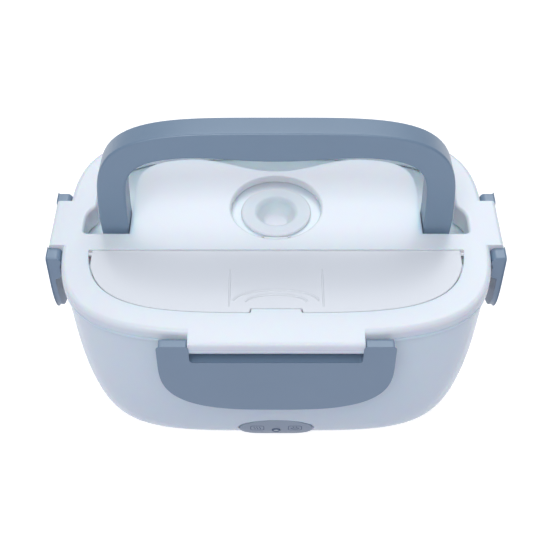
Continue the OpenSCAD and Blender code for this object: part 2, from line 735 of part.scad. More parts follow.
module lid_top() color(white) {
    round_steps = [0, 30, 60, 90];
    well_floor = top_z - well_h;
    hollow_top = top_z - lid_t;
    difference() {
        union() {
            loft(concat(
                [inset_ring(plug_in, fine, plug_z), inset_ring(plug_in, fine, skirt_z)],
                [inset_ring(0, fine, skirt_z)],
                [for (t = round_steps)
                    inset_ring(rim_round * (1 - cos(t)), fine, top_z - rim_round * (1 - sin(t)))]
            ));
            for (turn = [0, 90, 180, 270]) hinge_block(turn);
        }
        // Pockets from above
        translate([0, 0, top_z - pocket_h]) linear_extrude(pocket_h + over) pocket_outline();
        translate([0, 0, top_z - store_h]) linear_extrude(store_h + over) difference() {
            union() {
                store_outline(cover_ledge, bar_front_y);
                translate([-store_len / 2 + over, cover_axis_y - 2 * cover_ledge])
                    square([store_len - 2 * over, bar_front_y - cover_axis_y + 2 * cover_ledge]);
            }
            front_tab(-over);
        }
        translate([0, 0, top_z - cover_drop - cover_t - seat_gap]) linear_extrude(cover_t + over) difference() {
            store_outline(0, bar_front_y);
            front_tab(0);
        }
        translate([0, vent_y, well_floor]) cylinder(d = well_d, h = well_h + over);
        translate([0, vent_y, plug_z - over]) cylinder(d = vent_d, h = pocket_h);
        for (x = [-peg_x, peg_x]) translate([x, tab_y, well_floor - lid_t - over])
            cylinder(d = peg_d + 0.1, h = lid_t + 2 * over);
        // Bores for the cover's stubs and the handle's pins
        for (x = [-1, 1]) translate([0, cover_axis_y, cover_axis_z])
            along_x(stub_d + 2 * run, x > 0 ? stub_x - over : -stub_x - stub_l - side_gap, stub_l + side_gap + over);
        for (x = [-1, 1]) translate([0, pivot_y, pivot_z])
            along_x(pivot_d, x > 0 ? pin_x : -plateau_a - over, plateau_a - pin_x + over);
        // Hollows from below
        translate([0, 0, plug_z - over]) linear_extrude(top_z - store_h - lid_t - plug_z + over)
            store_outline(cover_ledge + lid_t, bar_front_y - lid_t);
        difference() {
            translate([0, 0, plug_z - over]) linear_extrude(hollow_top - plug_z + over) union() {
                plateau_hollow();
                translate([-plateau_a, bar_front_y + lid_t]) square([2 * plateau_a, bar_len - 2 * lid_t]);
            }
            translate([0, vent_y, well_floor - lid_t]) cylinder(d = well_d + 2 * lid_t, h = well_h + lid_t);
            translate([0, vent_y, plug_z - 2 * over]) cylinder(d = vent_d + 2 * lid_t, h = pocket_h);
            for (x = [-1, 1]) translate([x * (plateau_a - 7), pivot_y, pivot_z - 2])
                cube([16, pivot_d + 2 * lid_t, 2 * pivot_d + lid_t], center = true);
        }
    }
}
module plateau_hollow() intersection() {
    plateau_outline(lid_t + 0.2);
    translate([-plateau_a, bar_front_y + lid_t]) square([2 * plateau_a, lid_dep]);
}

module handle_pins() color(blue_grey) for (x = [-1, 1]) translate([0, pivot_y, pivot_z])
    along_x(pivot_d, x > 0 ? pin_x : -arm_in_x - pin_bite, arm_in_x + pin_bite - pin_x);

module latch_pins() color(steel) for (turn = [0, 90, 180, 270]) on_side(turn) {
    half = block_of(turn);
    reach = arm_of(turn) - 2 + side_gap;
    for (x = [-1, 1]) along_x(latch_pin_d, x > 0 ? half - latch_pin_l : -half - reach, latch_pin_l + reach);
}

module lid_underside() color(white) difference() {
    union() {
        plan_slab(under_in, plug_z - under_t, under_t, fine);
        plan_slab(seal_in + 0.05, plug_z - 2 * under_t, under_t, fine);
    }
    for (i = [0:5]) translate([5 * cos(60 * i), vent_y + 5 * sin(60 * i), plug_z - 3 * under_t])
        cylinder(d = 2.4, h = 4 * under_t);
}

module lid_seal() color(silicone) plan_ring(under_in, seal_in, seal_z, under_t + seal_proud, fine);

// The tab's rear edge is round about the fold line of the strap
module vent_tab() color(silicone) {
    z = top_z - well_h;
    front_y = vent_y - well_d / 2 + side_gap;
    intersection() {
        translate([-tab_half, front_y, z]) cube([2 * tab_half, vent_axis_y - front_y, seat_gap + plug_t]);
        translate([0, vent_y, z]) cylinder(d = well_d - 2 * side_gap, h = seat_gap + plug_t);
    }
    translate([0, vent_axis_y, vent_axis_z]) along_x(plug_t, -tab_half, 2 * tab_half);
    for (x = [-peg_x, peg_x]) translate([x, tab_y, z - lid_t - 1]) cylinder(d = peg_d, h = lid_t + 1);
    for (x = [-peg_x, peg_x]) translate([x, tab_y, z + seat_gap + plug_t]) cylinder(d = peg_d, h = 0.5);
}

module vent_plug() color(silicone) translate([0, vent_y, 0]) {
    z = top_z - well_h + seat_gap;
    cup_top = vent_d - 2 * side_gap;
    rotate_extrude() polygon([
        [0, z - cup_h], [cup_d / 2, z - cup_h], [cup_top / 2, z], [plug_d / 2, z], [plug_d / 2, z + plug_t - 0.4],
        [plug_d / 2 - 0.4, z + plug_t], [cup_top / 2 - plug_skin, z + plug_t],
        [cup_d / 2 - plug_skin, z - cup_h + plug_skin], [0, z - cup_h + plug_skin]
    ]);
}

module storage_cover() color(clear) {
    z = top_z - cover_drop - cover_t;
    grip_y = -lid_b + front_land + 8;
    translate([0, 0, z]) linear_extrude(cover_t) difference() {
        store_outline(store_gap, bar_front_y - store_gap);
        front_tab(-store_gap);
        for (x = [-1, 1]) translate([x * store_len / 2, bar_front_y]) square([4 * store_gap, 30], center = true);
    }
    for (x = [-1, 1]) translate([0, cover_axis_y, cover_axis_z])
        along_x(stub_d, x > 0 ? stub_x - 3 * stub_l : -stub_x - stub_l, 4 * stub_l);
    for (x = [-1, 1]) translate([0, cover_axis_y, cover_axis_z])
        translate([x > 0 ? stub_x - 3 * stub_l : -stub_x + 1.5, -1, -1]) cube([3 * stub_l - 1.5, 2, 1]);
    // The grip ridge and the two ribs beside it
    translate([0, 0, z + cover_t]) linear_extrude(0.8) {
        difference() {
            translate([0, grip_y]) scale([1, 0.36]) circle(r = 22);
            translate([0, grip_y]) scale([1, 0.32]) circle(r = 20.4);
            translate([-30, grip_y - 30]) square([60, 30]);
        }
        for (x = [-23.5, 23.5]) translate([x - 0.6, grip_y - 4]) square([1.2, 26]);
    }
}

// Half width of the spoon and the height of its underside, from the end of its grip to the tip of its bowl
function spoon_half(x) = x < neck_x
    ? grip_neck_w / 2 + (grip_w - grip_neck_w) / 2 * min(1, (neck_x - x) / grip_l)
    : bowl_w / 2 * sqrt(max(0.02, 1 - pow((x - bowl_x) / (bowl_l / 2), 2)));
function spoon_low(x) = x < neck_x
    ? bowl_h - grip_h
    : (bowl_h - grip_h) * max(0.1, pow((x - bowl_x) / (bowl_x - neck_x), 2));
module spoon() color(white) translate([0, spoon_y, spoon_z]) {
    grip_steps = 6;
    bowl_steps = 10;
    stations = concat(
        [for (i = [0:grip_steps - 1]) neck_x - grip_l + grip_l * i / grip_steps],
        [neck_x],
        [for (i = [0:bowl_steps]) bowl_x - bowl_l / 2 * cos(16 + 164 * i / bowl_steps)]
    );
    // Each ring is a shallow dish, with its rim, its hollow and its underside
    loft([for (x = stations) let (h = spoon_half(x), low = spoon_low(x), mid = low + (bowl_h - low) * 0.4) [
        [x, h, bowl_h], [x, h * 0.7, mid], [x, 0, low + spoon_t], [x, -h * 0.7, mid], [x, -h, bowl_h],
        [x, -h, bowl_h - spoon_t], [x, -h * 0.7, mid - spoon_t], [x, 0, low], [x, h * 0.7, mid - spoon_t],
        [x, h, bowl_h - spoon_t]
    ]]);
}

// Handle

module handle_outline() {
    rise = handle_l - arm_rise;
    difference() {
        polygon(concat(
            [[handle_a - arm_splay, -handle_t], [handle_a - arm_splay, 0]],
            arch(handle_a, rise, arm_rise, 4, 0),
            [[-handle_a + arm_splay, 0], [-handle_a + arm_splay, -handle_t]]
        ));
        polygon(concat(
            [[arm_in_x, -handle_t - over], [arm_in_x, 0]],
            grip_arch(arm_in_x + arm_flare, rise - bar_w, arm_rise, 5.1),
            [[-arm_in_x, 0], [-arm_in_x, -handle_t - over]]
        ));
    }
}
function grip_arch(a, b, y0, e) = [
    for (i = [0:60])
        let (
            t = 180 * i / 60,
            r = pow(pow(abs(cos(t)) / a, e) + pow(sin(t) / b, e), -1 / e),
            x = r * cos(t)
        )
        [x, y0 + r * sin(t) - (abs(x) < grip_half ? grip_swell * (1 + cos(180 * x / grip_half)) / 2 : 0)]
];
module handle() color(blue_grey) translate([0, pivot_y, pivot_z]) rotate([-handle_lean, 0, 0]) difference() {
    intersection() {
        translate([0, handle_t / 2, 0]) rotate([90, 0, 0]) linear_extrude(handle_t) handle_outline();
        union() {
            translate([-lid_a, -handle_t / 2, 0]) cube([lid_len, handle_t, handle_l + over]);
            along_x(handle_t, -lid_a, lid_len);
        }
    }
    for (x = [-1, 1]) along_x(pivot_d + 2 * run,
        x > 0 ? arm_in_x - over : -arm_in_x - pin_bite - side_gap, pin_bite + side_gap + over);
}

// Latches

module latch(turn, drop) color(blue_grey) on_side(turn) {
    inner = block_of(turn) + side_gap;
    outer = inner + arm_of(turn);
    hook_half = block_of(turn) - 10;
    difference() {
        union() {
            translate([0, latch_t - barrel_r, 0]) rotate([90, 0, 0]) linear_extrude(latch_t) polygon(concat(
                [for (i = [0:32]) let (t = 180 + 180 * i / 32) [
                    outer * signed_pow(cos(t), 2 / latch_squareness),
                    -plate_top + (drop - plate_top) * signed_pow(sin(t), 2 / latch_squareness)
                ]],
                [[outer, 0], [inner, 0], [inner, -plate_top], [-inner, -plate_top], [-inner, 0], [-outer, 0]]
            ));
            along_x(2 * barrel_r, inner, arm_of(turn));
            along_x(2 * barrel_r, -outer, arm_of(turn));
            // The plate is thick along its top edge and up its arms
            translate([-outer + shoulder_h, 0, 0]) rotate([90, 0, 90]) linear_extrude(2 * (outer - shoulder_h)) polygon([
                [-barrel_r, -plate_top - shoulder_h], [shoulder_in - shoulder_slope, -plate_top - shoulder_h],
                [shoulder_in, -plate_top - shoulder_slope / 2], [shoulder_in, -plate_top], [-barrel_r, -plate_top]
            ]);
            for (x = [-outer, inner]) translate([x, -barrel_r, -plate_top])
                cube([arm_of(turn), barrel_r + shoulder_in, plate_top]);
            translate([-hook_half, latch_t - barrel_r - over, -hook_drop - hook_h])
                cube([2 * hook_half, hook_in + barrel_r - latch_t + over, hook_h]);
        }
        for (x = [-1, 1]) along_x(latch_pin_d + 2 * run, x > 0 ? inner - over : -outer + 1.4, arm_of(turn) - 1.4 + over);
    }
}
module latch_front() latch(0, long_drop);
module latch_rear() latch(180, long_drop);
module latch_right() latch(90, short_drop);
module latch_left() latch(270, short_drop);

outer_shell();
inner_basin();
bottom_plate();
rubber_feet();
base_screws();
heat_plate();
ptc_heater();
heater_clamp();
thermostat();
thermal_fuse();
internal_leads();
mains_inlet();
inlet_pins();
lamp_board();
lamp_lens();
indicator_panel();
food_tray();
tray_insert();
lid_top();
lid_underside();
lid_seal();
latch_pins();
handle_pins();
vent_tab();
vent_plug();
storage_cover();
spoon();
handle();
latch_front();
latch_rear();
latch_left();
latch_right();
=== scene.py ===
import bmesh
import bpy
import math
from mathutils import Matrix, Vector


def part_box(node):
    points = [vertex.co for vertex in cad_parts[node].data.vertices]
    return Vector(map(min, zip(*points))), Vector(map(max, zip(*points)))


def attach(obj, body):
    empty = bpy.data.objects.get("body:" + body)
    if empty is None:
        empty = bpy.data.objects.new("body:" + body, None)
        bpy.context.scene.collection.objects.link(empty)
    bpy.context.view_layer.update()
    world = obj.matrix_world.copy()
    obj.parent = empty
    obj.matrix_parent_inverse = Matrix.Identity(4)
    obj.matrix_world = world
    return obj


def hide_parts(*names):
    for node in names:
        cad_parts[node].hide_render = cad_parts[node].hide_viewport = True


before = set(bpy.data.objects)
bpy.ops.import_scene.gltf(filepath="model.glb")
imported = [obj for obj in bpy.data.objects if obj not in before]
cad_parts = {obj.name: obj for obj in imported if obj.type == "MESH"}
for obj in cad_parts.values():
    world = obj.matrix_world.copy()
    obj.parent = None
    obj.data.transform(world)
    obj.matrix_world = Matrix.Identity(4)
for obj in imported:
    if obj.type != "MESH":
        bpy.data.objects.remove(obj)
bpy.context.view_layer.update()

# Pieces are modelled in millimetres, and finishPiece brings each one to metres
mm = 0.001
sides = {"front": 0, "right": 90, "rear": 180, "left": 270}


def span(node):
    low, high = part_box(node)
    return [c / mm for c in low], [c / mm for c in high]


levels = {
    "lidTop": span("storage_cover")[0][2] + 2.1,
    "skirt": span("inner_basin")[1][2] + 0.3,
    "rim": span("inner_basin")[1][2],
    "shellTop": span("outer_shell")[1][2],
    "shellLow": span("outer_shell")[0][2],
    "plug": span("lid_top")[0][2],
}
plan = {"halfLength": 112.0, "halfDepth": 78.2, "squareness": 3.65, "points": 192}


# Selecting, joining and finishing

def activate(piece):
    bpy.ops.object.select_all(action="DESELECT")
    piece.select_set(True)
    bpy.context.view_layer.objects.active = piece


def edit(piece):
    activate(piece)
    bpy.ops.object.mode_set(mode="EDIT")
    bpy.ops.mesh.select_mode(type="EDGE")
    bpy.ops.mesh.select_all(action="SELECT")


def leaveEdit():
    bpy.ops.object.mode_set(mode="OBJECT")


def pointOutwards():
    bpy.ops.mesh.select_all(action="SELECT")
    bpy.ops.mesh.normals_make_consistent(inside=False)


def newCircle(name, count, fill):
    bpy.ops.object.select_all(action="DESELECT")
    bpy.ops.mesh.primitive_circle_add(vertices=count, radius=1, fill_type=fill)
    piece = bpy.context.object
    piece.name = piece.data.name = name
    return piece


def prism(name, outline, low, high):
    piece = newCircle(name, len(outline), "NGON")
    for vertex, (x, y) in zip(piece.data.vertices, outline):
        vertex.co = (x, y, low)
    edit(piece)
    bpy.ops.mesh.extrude_region_move(TRANSFORM_OT_translate={"value": (0, 0, high - low)})
    pointOutwards()
    leaveEdit()
    return piece


def loft(name, rings, hollow=False):      # one extrusion for each ring, then the points of all rings are placed
    piece = newCircle(name, len(rings[0]), "NOTHING")
    edit(piece)
    for step in rings[1:]:
        bpy.ops.mesh.extrude_edges_move(TRANSFORM_OT_translate={"value": (0, 0, 1)})
    leaveEdit()
    places = [point for ring in rings for point in ring]
    for vertex, place in zip(piece.data.vertices, places):
        vertex.co = place
    edit(piece)
    bpy.ops.mesh.select_all(action="DESELECT")
    bpy.ops.mesh.select_non_manifold(extend=False)
    if hollow:
        bpy.ops.mesh.bridge_edge_loops()
    else:
        bpy.ops.mesh.fill_holes(sides=0)
    pointOutwards()
    leaveEdit()
    return piece


def lathe(name, profile, x=0, y=0, count=96):
    return loft(name, [[(px + x, py + y, z) for px, py in oval(r, r, 2, count)] for r, z in profile])


def tube(name, path, radius, sidesRound=16, squash=1):   # a round bar along a level path
    rings = []
    for i, (x, y, z) in enumerate(path):
        before, after = path[max(i - 1, 0)], path[min(i + 1, len(path) - 1)]
        angle = math.atan2(after[1] - before[1], after[0] - before[0])
        across = (-math.sin(angle), math.cos(angle))
        ends = 0.55 if i in (0, len(path) - 1) else 1
        rings.append([(x + radius * ends * math.cos(t) * across[0], y + radius * ends * math.cos(t) * across[1],
                       z + radius * ends * squash * math.sin(t))
                      for t in [2 * math.pi * k / sidesRound for k in range(sidesRound)]])
    return loft(name, rings)


def alongX(name, profile, low, high):     # a profile in y and z, drawn out along x
    piece = prism(name, [(-z, y) for y, z in profile], low, high)
    place(piece, turn=(0, 90, 0))
    return piece


def combine(piece, other, operation):
    activate(piece)
    modifier = piece.modifiers.new("joined", "BOOLEAN")
    modifier.object = other
    modifier.operation = operation
    modifier.solver = "EXACT"
    bpy.ops.object.modifier_apply(modifier=modifier.name)
    bpy.data.objects.remove(other)


def cut(piece, cutter):
    combine(piece, cutter, "DIFFERENCE")


def weld(piece, other):
    combine(piece, other, "UNION")


def bend(edge):
    return math.degrees(edge.calc_face_angle(0))


def between(edge, axis, low, high):
    return all(low <= vertex.co[axis] <= high for vertex in edge.verts)


def roundEdges(piece, test, radius, steps=3):
    edit(piece)
    bpy.ops.mesh.select_all(action="DESELECT")
    mesh = bmesh.from_edit_mesh(piece.data)
    for edge in mesh.edges:
        if test(edge):
            edge.select_set(True)
    bmesh.update_edit_mesh(piece.data)
    bpy.ops.mesh.bevel(offset=radius, segments=steps, affect="EDGES", clamp_overlap=False)
    leaveEdit()


def place(piece, move=(0, 0, 0), turn=(0, 0, 0)):
    activate(piece)
    piece.location = move
    piece.rotation_euler = [math.radians(angle) for angle in turn]
    bpy.ops.object.transform_apply(location=True, rotation=True, scale=True)


def finishPiece(piece, body, material, nodes=(), smoothAngle=35):
    edit(piece)
    bpy.ops.mesh.remove_doubles(threshold=0.002)
    pointOutwards()
    leaveEdit()
    piece.scale = (mm, mm, mm)
    bpy.ops.object.transform_apply(location=True, rotation=True, scale=True)
    bpy.ops.object.shade_smooth_by_angle(angle=math.radians(smoothAngle))
    modifier = piece.modifiers.new("evenShading", "WEIGHTED_NORMAL")
    modifier.keep_sharp = True
    bpy.ops.object.modifier_apply(modifier=modifier.name)
    piece.data.materials.clear()
    piece.data.materials.append(material)
    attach(piece, body)
    if nodes:
        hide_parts(*nodes)


# Outlines and rings

def signedPower(value, power):
    return math.copysign(abs(value) ** power, value)


def oval(a, b, squareness, count):
    points = []
    for i in range(count):
        t = 2 * math.pi * i / count
        points.append((a * signedPower(math.cos(t), 2 / squareness), b * signedPower(math.sin(t), 2 / squareness)))
    return points


def ring(a, b, squareness, z, count=plan["points"]):
    return [(x, y, z) for x, y in oval(a, b, squareness, count)]


def planRing(inset, z, count=plan["points"]):
    return ring(plan["halfLength"] - inset, plan["halfDepth"] - inset, plan["squareness"], z, count)


def softened(points, count, reach):       # evenly spaced points, with each corner eased over reach
    total = sum(math.dist(points[i - 1], points[i]) for i in range(len(points)))
    spacing = total / count
    even, done, i = [], 0.0, 0
    for k in range(count):
        goal = spacing * k
        length = math.dist(points[i], points[(i + 1) % len(points)])
        while done + length < goal:
            done += length
            i += 1
            length = math.dist(points[i], points[(i + 1) % len(points)])
        share = (goal - done) / length if length else 0
        (x0, y0), (x1, y1) = points[i], points[(i + 1) % len(points)]
        even.append((x0 + (x1 - x0) * share, y0 + (y1 - y0) * share))
    half = max(1, round(reach / spacing))
    weights = [half + 1 - abs(j) for j in range(-half, half + 1)]
    eased = []
    for k in range(count):
        near = [even[(k + j) % count] for j in range(-half, half + 1)]
        eased.append(tuple(sum(w * p[axis] for w, p in zip(weights, near)) / sum(weights) for axis in (0, 1)))
    return eased


def grown(points, distance):              # each point moved out along the outline's normal
    count = len(points)
    area = sum(points[i - 1][0] * points[i][1] - points[i][0] * points[i - 1][1] for i in range(count))
    moved = []
    for i in range(count):
        (x0, y0), (x1, y1) = points[i - 1], points[(i + 1) % count]
        dx, dy = x1 - x0, y1 - y0
        size = math.hypot(dx, dy) or 1
        out = distance * math.copysign(1, area)
        moved.append((points[i][0] + out * dy / size, points[i][1] - out * dx / size))
    return moved


def quarter(steps):                       # sines and cosines of a quarter turn
    return [(math.sin(math.pi / 2 * k / steps), math.cos(math.pi / 2 * k / steps)) for k in range(steps + 1)]


def pocket(name, outline, floor, top, floorRound, rimRound):   # a cutter that leaves a round floor edge and rim
    rings = []
    for s, c in quarter(5):
        rings.append([(x, y, floor + floorRound * (1 - c)) for x, y in grown(outline, floorRound * (1 - s))])
    lift = 0.015
    for s, c in quarter(6):
        z = top + lift - rimRound * (1 - s)
        rings.append([(x, y, z) for x, y in grown(outline, rimRound * (1 - c))])
    rings.append([(x, y, top + 3) for x, y in grown(outline, rimRound)])
    return loft(name, rings)


def arch(a, b, y0, squareness, dip=0, dipHalf=1, count=90):
    points = []
    for i in range(count + 1):
        t = math.pi * i / count
        c, s = math.cos(t), math.sin(t)
        r = (abs(c / a) ** squareness + (s / b) ** squareness) ** (-1 / squareness)
        x, y = r * c, y0 + r * s
        if abs(x) < dipHalf:
            y -= dip * (1 + math.cos(math.pi * x / dipHalf)) / 2
        points.append((x, y))
    return points


# Materials

def mixedColour(nodes, links, factor, first, second):
    mix = nodes.new("ShaderNodeMix")
    mix.data_type = "RGBA"
    links.new(factor, mix.inputs["Factor"])
    mix.inputs["A"].default_value = (*first, 1)
    mix.inputs["B"].default_value = (*second, 1)
    return mix.outputs["Result"]


def noise(nodes, links, coordinates, scale, detail=3):
    texture = nodes.new("ShaderNodeTexNoise")
    texture.inputs["Scale"].default_value = scale
    texture.inputs["Detail"].default_value = detail
    links.new(coordinates, texture.inputs["Vector"])
    return texture.outputs["Fac"]


def moulded(name, look):                  # a plastic with cloudy colour, uneven gloss and a fine moulded grain
    material = bpy.data.materials.new(name)
    material.use_nodes = True
    nodes, links = material.node_tree.nodes, material.node_tree.links
    shader = nodes["Principled BSDF"]
    where = nodes.new("ShaderNodeTexCoord").outputs["Object"]
    cloud = noise(nodes, links, where, look["cloudScale"])
    dark = [c * look["cloudDepth"] for c in look["colour"]]
    links.new(mixedColour(nodes, links, cloud, dark, look["colour"]), shader.inputs["Base Color"])
    gloss = nodes.new("ShaderNodeMapRange")
    links.new(noise(nodes, links, where, look["glossScale"], 4), gloss.inputs["Value"])
    gloss.inputs["To Min"].default_value = look["roughness"] - look["roughnessSpread"]
    gloss.inputs["To Max"].default_value = look["roughness"] + look["roughnessSpread"]
    links.new(gloss.outputs["Result"], shader.inputs["Roughness"])
    bump = nodes.new("ShaderNodeBump")
    bump.inputs["Strength"].default_value = look["grain"]
    bump.inputs["Distance"].default_value = 0.0001
    links.new(noise(nodes, links, where, look["grainScale"], 2), bump.inputs["Height"])
    links.new(bump.outputs["Normal"], shader.inputs["Normal"])
    for socket, value in look.get("sockets", {}).items():
        shader.inputs[socket].default_value = value
    return material


whiteLook = {"colour": (0.92, 0.955, 0.99), "cloudScale": 18, "cloudDepth": 0.975, "glossScale": 45, "roughness": 0.24,
             "roughnessSpread": 0.05, "grain": 0.12, "grainScale": 1800,
             "sockets": {"IOR": 1.49, "Subsurface Weight": 0.45, "Subsurface Scale": 0.006}}
blueLook = {"colour": (0.213, 0.303, 0.405), "cloudScale": 30, "cloudDepth": 0.93, "glossScale": 70, "roughness": 0.36,
            "roughnessSpread": 0.07, "grain": 0.2, "grainScale": 1500, "sockets": {"IOR": 1.49, "Specular IOR Level": 0.85}}
clearLook = {"colour": (0.985, 0.99, 1.0), "cloudScale": 20, "cloudDepth": 0.99, "glossScale": 30, "roughness": 0.22,
             "roughnessSpread": 0.04, "grain": 0.05, "grainScale": 900, "sockets": {"IOR": 1.5, "Specular IOR Level": 0.5, "Alpha": 0.86}}
siliconeLook = {"colour": (0.86, 0.855, 0.875), "cloudScale": 60, "cloudDepth": 0.95, "glossScale": 80, "roughness": 0.4,
                "roughnessSpread": 0.08, "grain": 0.15, "grainScale": 1200,
                "sockets": {"Subsurface Weight": 0.4, "Subsurface Scale": 0.004}}
panelLook = {"colour": (0.41, 0.47, 0.535), "cloudScale": 50, "cloudDepth": 0.92, "glossScale": 90, "roughness": 0.45,
             "roughnessSpread": 0.07, "grain": 0.25, "grainScale": 2500}
lensLook = {"colour": (0.72, 0.8, 0.78), "cloudScale": 200, "cloudDepth": 0.8, "glossScale": 200, "roughness": 0.2,
            "roughnessSpread": 0.06, "grain": 0.1, "grainScale": 2000}
rubberLook = {"colour": (0.028, 0.028, 0.031), "cloudScale": 60, "cloudDepth": 0.7, "glossScale": 90, "roughness": 0.75,
              "roughnessSpread": 0.1, "grain": 0.4, "grainScale": 1600}
blackLook = {"colour": (0.03, 0.03, 0.034), "cloudScale": 50, "cloudDepth": 0.75, "glossScale": 80, "roughness": 0.45,
             "roughnessSpread": 0.08, "grain": 0.3, "grainScale": 2200}
inkLook = {"colour": (0.13, 0.18, 0.28), "cloudScale": 300, "cloudDepth": 0.85, "glossScale": 300, "roughness": 0.5,
           "roughnessSpread": 0.08, "grain": 0.2, "grainScale": 2500}
boardLook = {"colour": (0.03, 0.16, 0.08), "cloudScale": 300, "cloudDepth": 0.7, "glossScale": 200, "roughness": 0.4,
             "roughnessSpread": 0.1, "grain": 0.3, "grainScale": 1500}
leadLook = {"colour": (0.5, 0.04, 0.035), "cloudScale": 150, "cloudDepth": 0.85, "glossScale": 250, "roughness": 0.5,
            "roughnessSpread": 0.08, "grain": 0.3, "grainScale": 2500}


def metal(name, look):                    # rolled or drawn metal, with fine lines along one direction
    material = moulded(name, look)
    nodes, links = material.node_tree.nodes, material.node_tree.links
    shader = nodes["Principled BSDF"]
    shader.inputs["Metallic"].default_value = 1
    stretch = nodes.new("ShaderNodeMapping")
    stretch.inputs["Scale"].default_value = look["lines"]
    links.new(nodes["Texture Coordinate"].outputs["Object"], stretch.inputs["Vector"])
    lines = noise(nodes, links, stretch.outputs["Vector"], look["grainScale"], 2)
    links.new(lines, nodes["Bump"].inputs["Height"])
    return material


steelLook = {"colour": (0.56, 0.57, 0.59), "cloudScale": 60, "cloudDepth": 0.85, "glossScale": 120, "roughness": 0.28,
             "roughnessSpread": 0.08, "grain": 0.3, "grainScale": 400, "lines": (0.1, 3, 3)}
aluminiumLook = {"colour": (0.72, 0.73, 0.75), "cloudScale": 30, "cloudDepth": 0.9, "glossScale": 80, "roughness": 0.38,
                 "roughnessSpread": 0.09, "grain": 0.35, "grainScale": 300, "lines": (0.08, 3, 3)}
materials = {
    "white": moulded("whitePlastic", whiteLook),
    # the handle's blue-grey made darker for the pins, as painted shade of the gap they sit in
    "pin": moulded("pinPlasticPaintedShade", {**blueLook, "colour": (0.14, 0.21, 0.28), "roughness": 0.3}),
    "ink": moulded("printedInk", inkLook),
    "board": moulded("circuitBoard", boardLook),
    "lead": moulded("leadInsulation", leadLook),
    "steel": metal("platedSteel", steelLook),
    "aluminium": metal("rolledAluminium", aluminiumLook),
    "blue": moulded("blueGreyPlastic", blueLook),
    "basin": moulded("basinPlastic", {**whiteLook, "roughness": 0.32}),
    "tray": moulded("trayPlastic", {**whiteLook, "colour": (0.84, 0.87, 0.9), "roughness": 0.34}),
    "clear": moulded("clearPlastic", clearLook),
    "silicone": moulded("silicone", siliconeLook),
    "panel": moulded("panelPlastic", panelLook),
    "lens": moulded("lampLens", lensLook),
    "rubber": moulded("rubber", rubberLook),
    "black": moulded("blackPlastic", blackLook),
}
print("materials ready")


# Outer shell: a drawn-in tub with a curled base and a catch rib for each latch

shell = {
    "inset": 1.3, "wall": 2.2, "draftLength": 11.0, "draftDepth": 4.6, "bellyHeight": 65.0, "bellyIn": 12.7,
    "squarenessGain": 0.5, "lipThick": 2.2, "lipWide": 4.4, "ribDrop": 15.55, "ribHigh": 2.6, "ribIn": 1.8,
}
shell["height"] = levels["shellTop"] - levels["shellLow"]
latchSpot = {"axisOut": 4.0, "axisDrop": 5.5}
latchSpot["axisZ"] = levels["lidTop"] - latchSpot["axisDrop"]


def shellHalf(depth, overall, draft):
    straight = shell["height"] - shell["bellyHeight"]
    belly = 0
    if depth > straight:
        share = min(1, (depth - straight) / shell["bellyHeight"])
        belly = shell["bellyIn"] * (1 - math.sqrt(1 - share * share))
    return overall - shell["inset"] - draft / 2 * depth / shell["height"] - belly


def shellRing(depth, inset=0):
    a = shellHalf(depth, plan["halfLength"], shell["draftLength"]) - inset
    b = shellHalf(depth, plan["halfDepth"], shell["draftDepth"]) - inset
    squareness = plan["squareness"] + shell["squarenessGain"] * depth / shell["height"]
    return ring(a, b, squareness, levels["shellTop"] - depth)


def frontWall(x, z):
    depth = levels["shellTop"] - z
    a = shellHalf(depth, plan["halfLength"], shell["draftLength"])
    b = shellHalf(depth, plan["halfDepth"], shell["draftDepth"])
    squareness = plan["squareness"] + shell["squarenessGain"] * depth / shell["height"]
    return -b * (1 - abs(x / a) ** squareness) ** (1 / squareness)


panel = {"half": 20.0, "halfHigh": 9.7, "z": 12.5, "sink": 0.8, "recess": 1.04, "proud": 2.0, "lensZ": 11.0, "tilt": 18.0,
         "hole": 2.45}


def proudAt(z):                           # the panel's face stands out towards its lower edge
    return panel["proud"] * (1 - (z - panel["z"]) / panel["halfHigh"]) / 2


def panelRing(share, out, proud=False, count=120):
    points = []
    for x, z in oval(panel["half"] * share, panel["halfHigh"] * share, 2, count):
        z += panel["z"]
        points.append((x, frontWall(x, z) - out - (proudAt(z) if proud else 0), z))
    return points


def atLens(piece):
    place(piece, turn=(90 + panel["tilt"], 0, 0))
    place(piece, (0, frontWall(0, panel["lensZ"]), panel["lensZ"]))


def onSide(piece, side):                  # from the front latch's place to the same place on another side
    turn = sides[side]
    out = plan["halfDepth"] if turn % 180 == 0 else plan["halfLength"]
    place(piece, (0, -out - latchSpot["axisOut"], latchSpot["axisZ"]))
    place(piece, turn=(0, 0, turn))


def blockHalf(side):
    return 43.0 if side in ("front", "rear") else 17.0


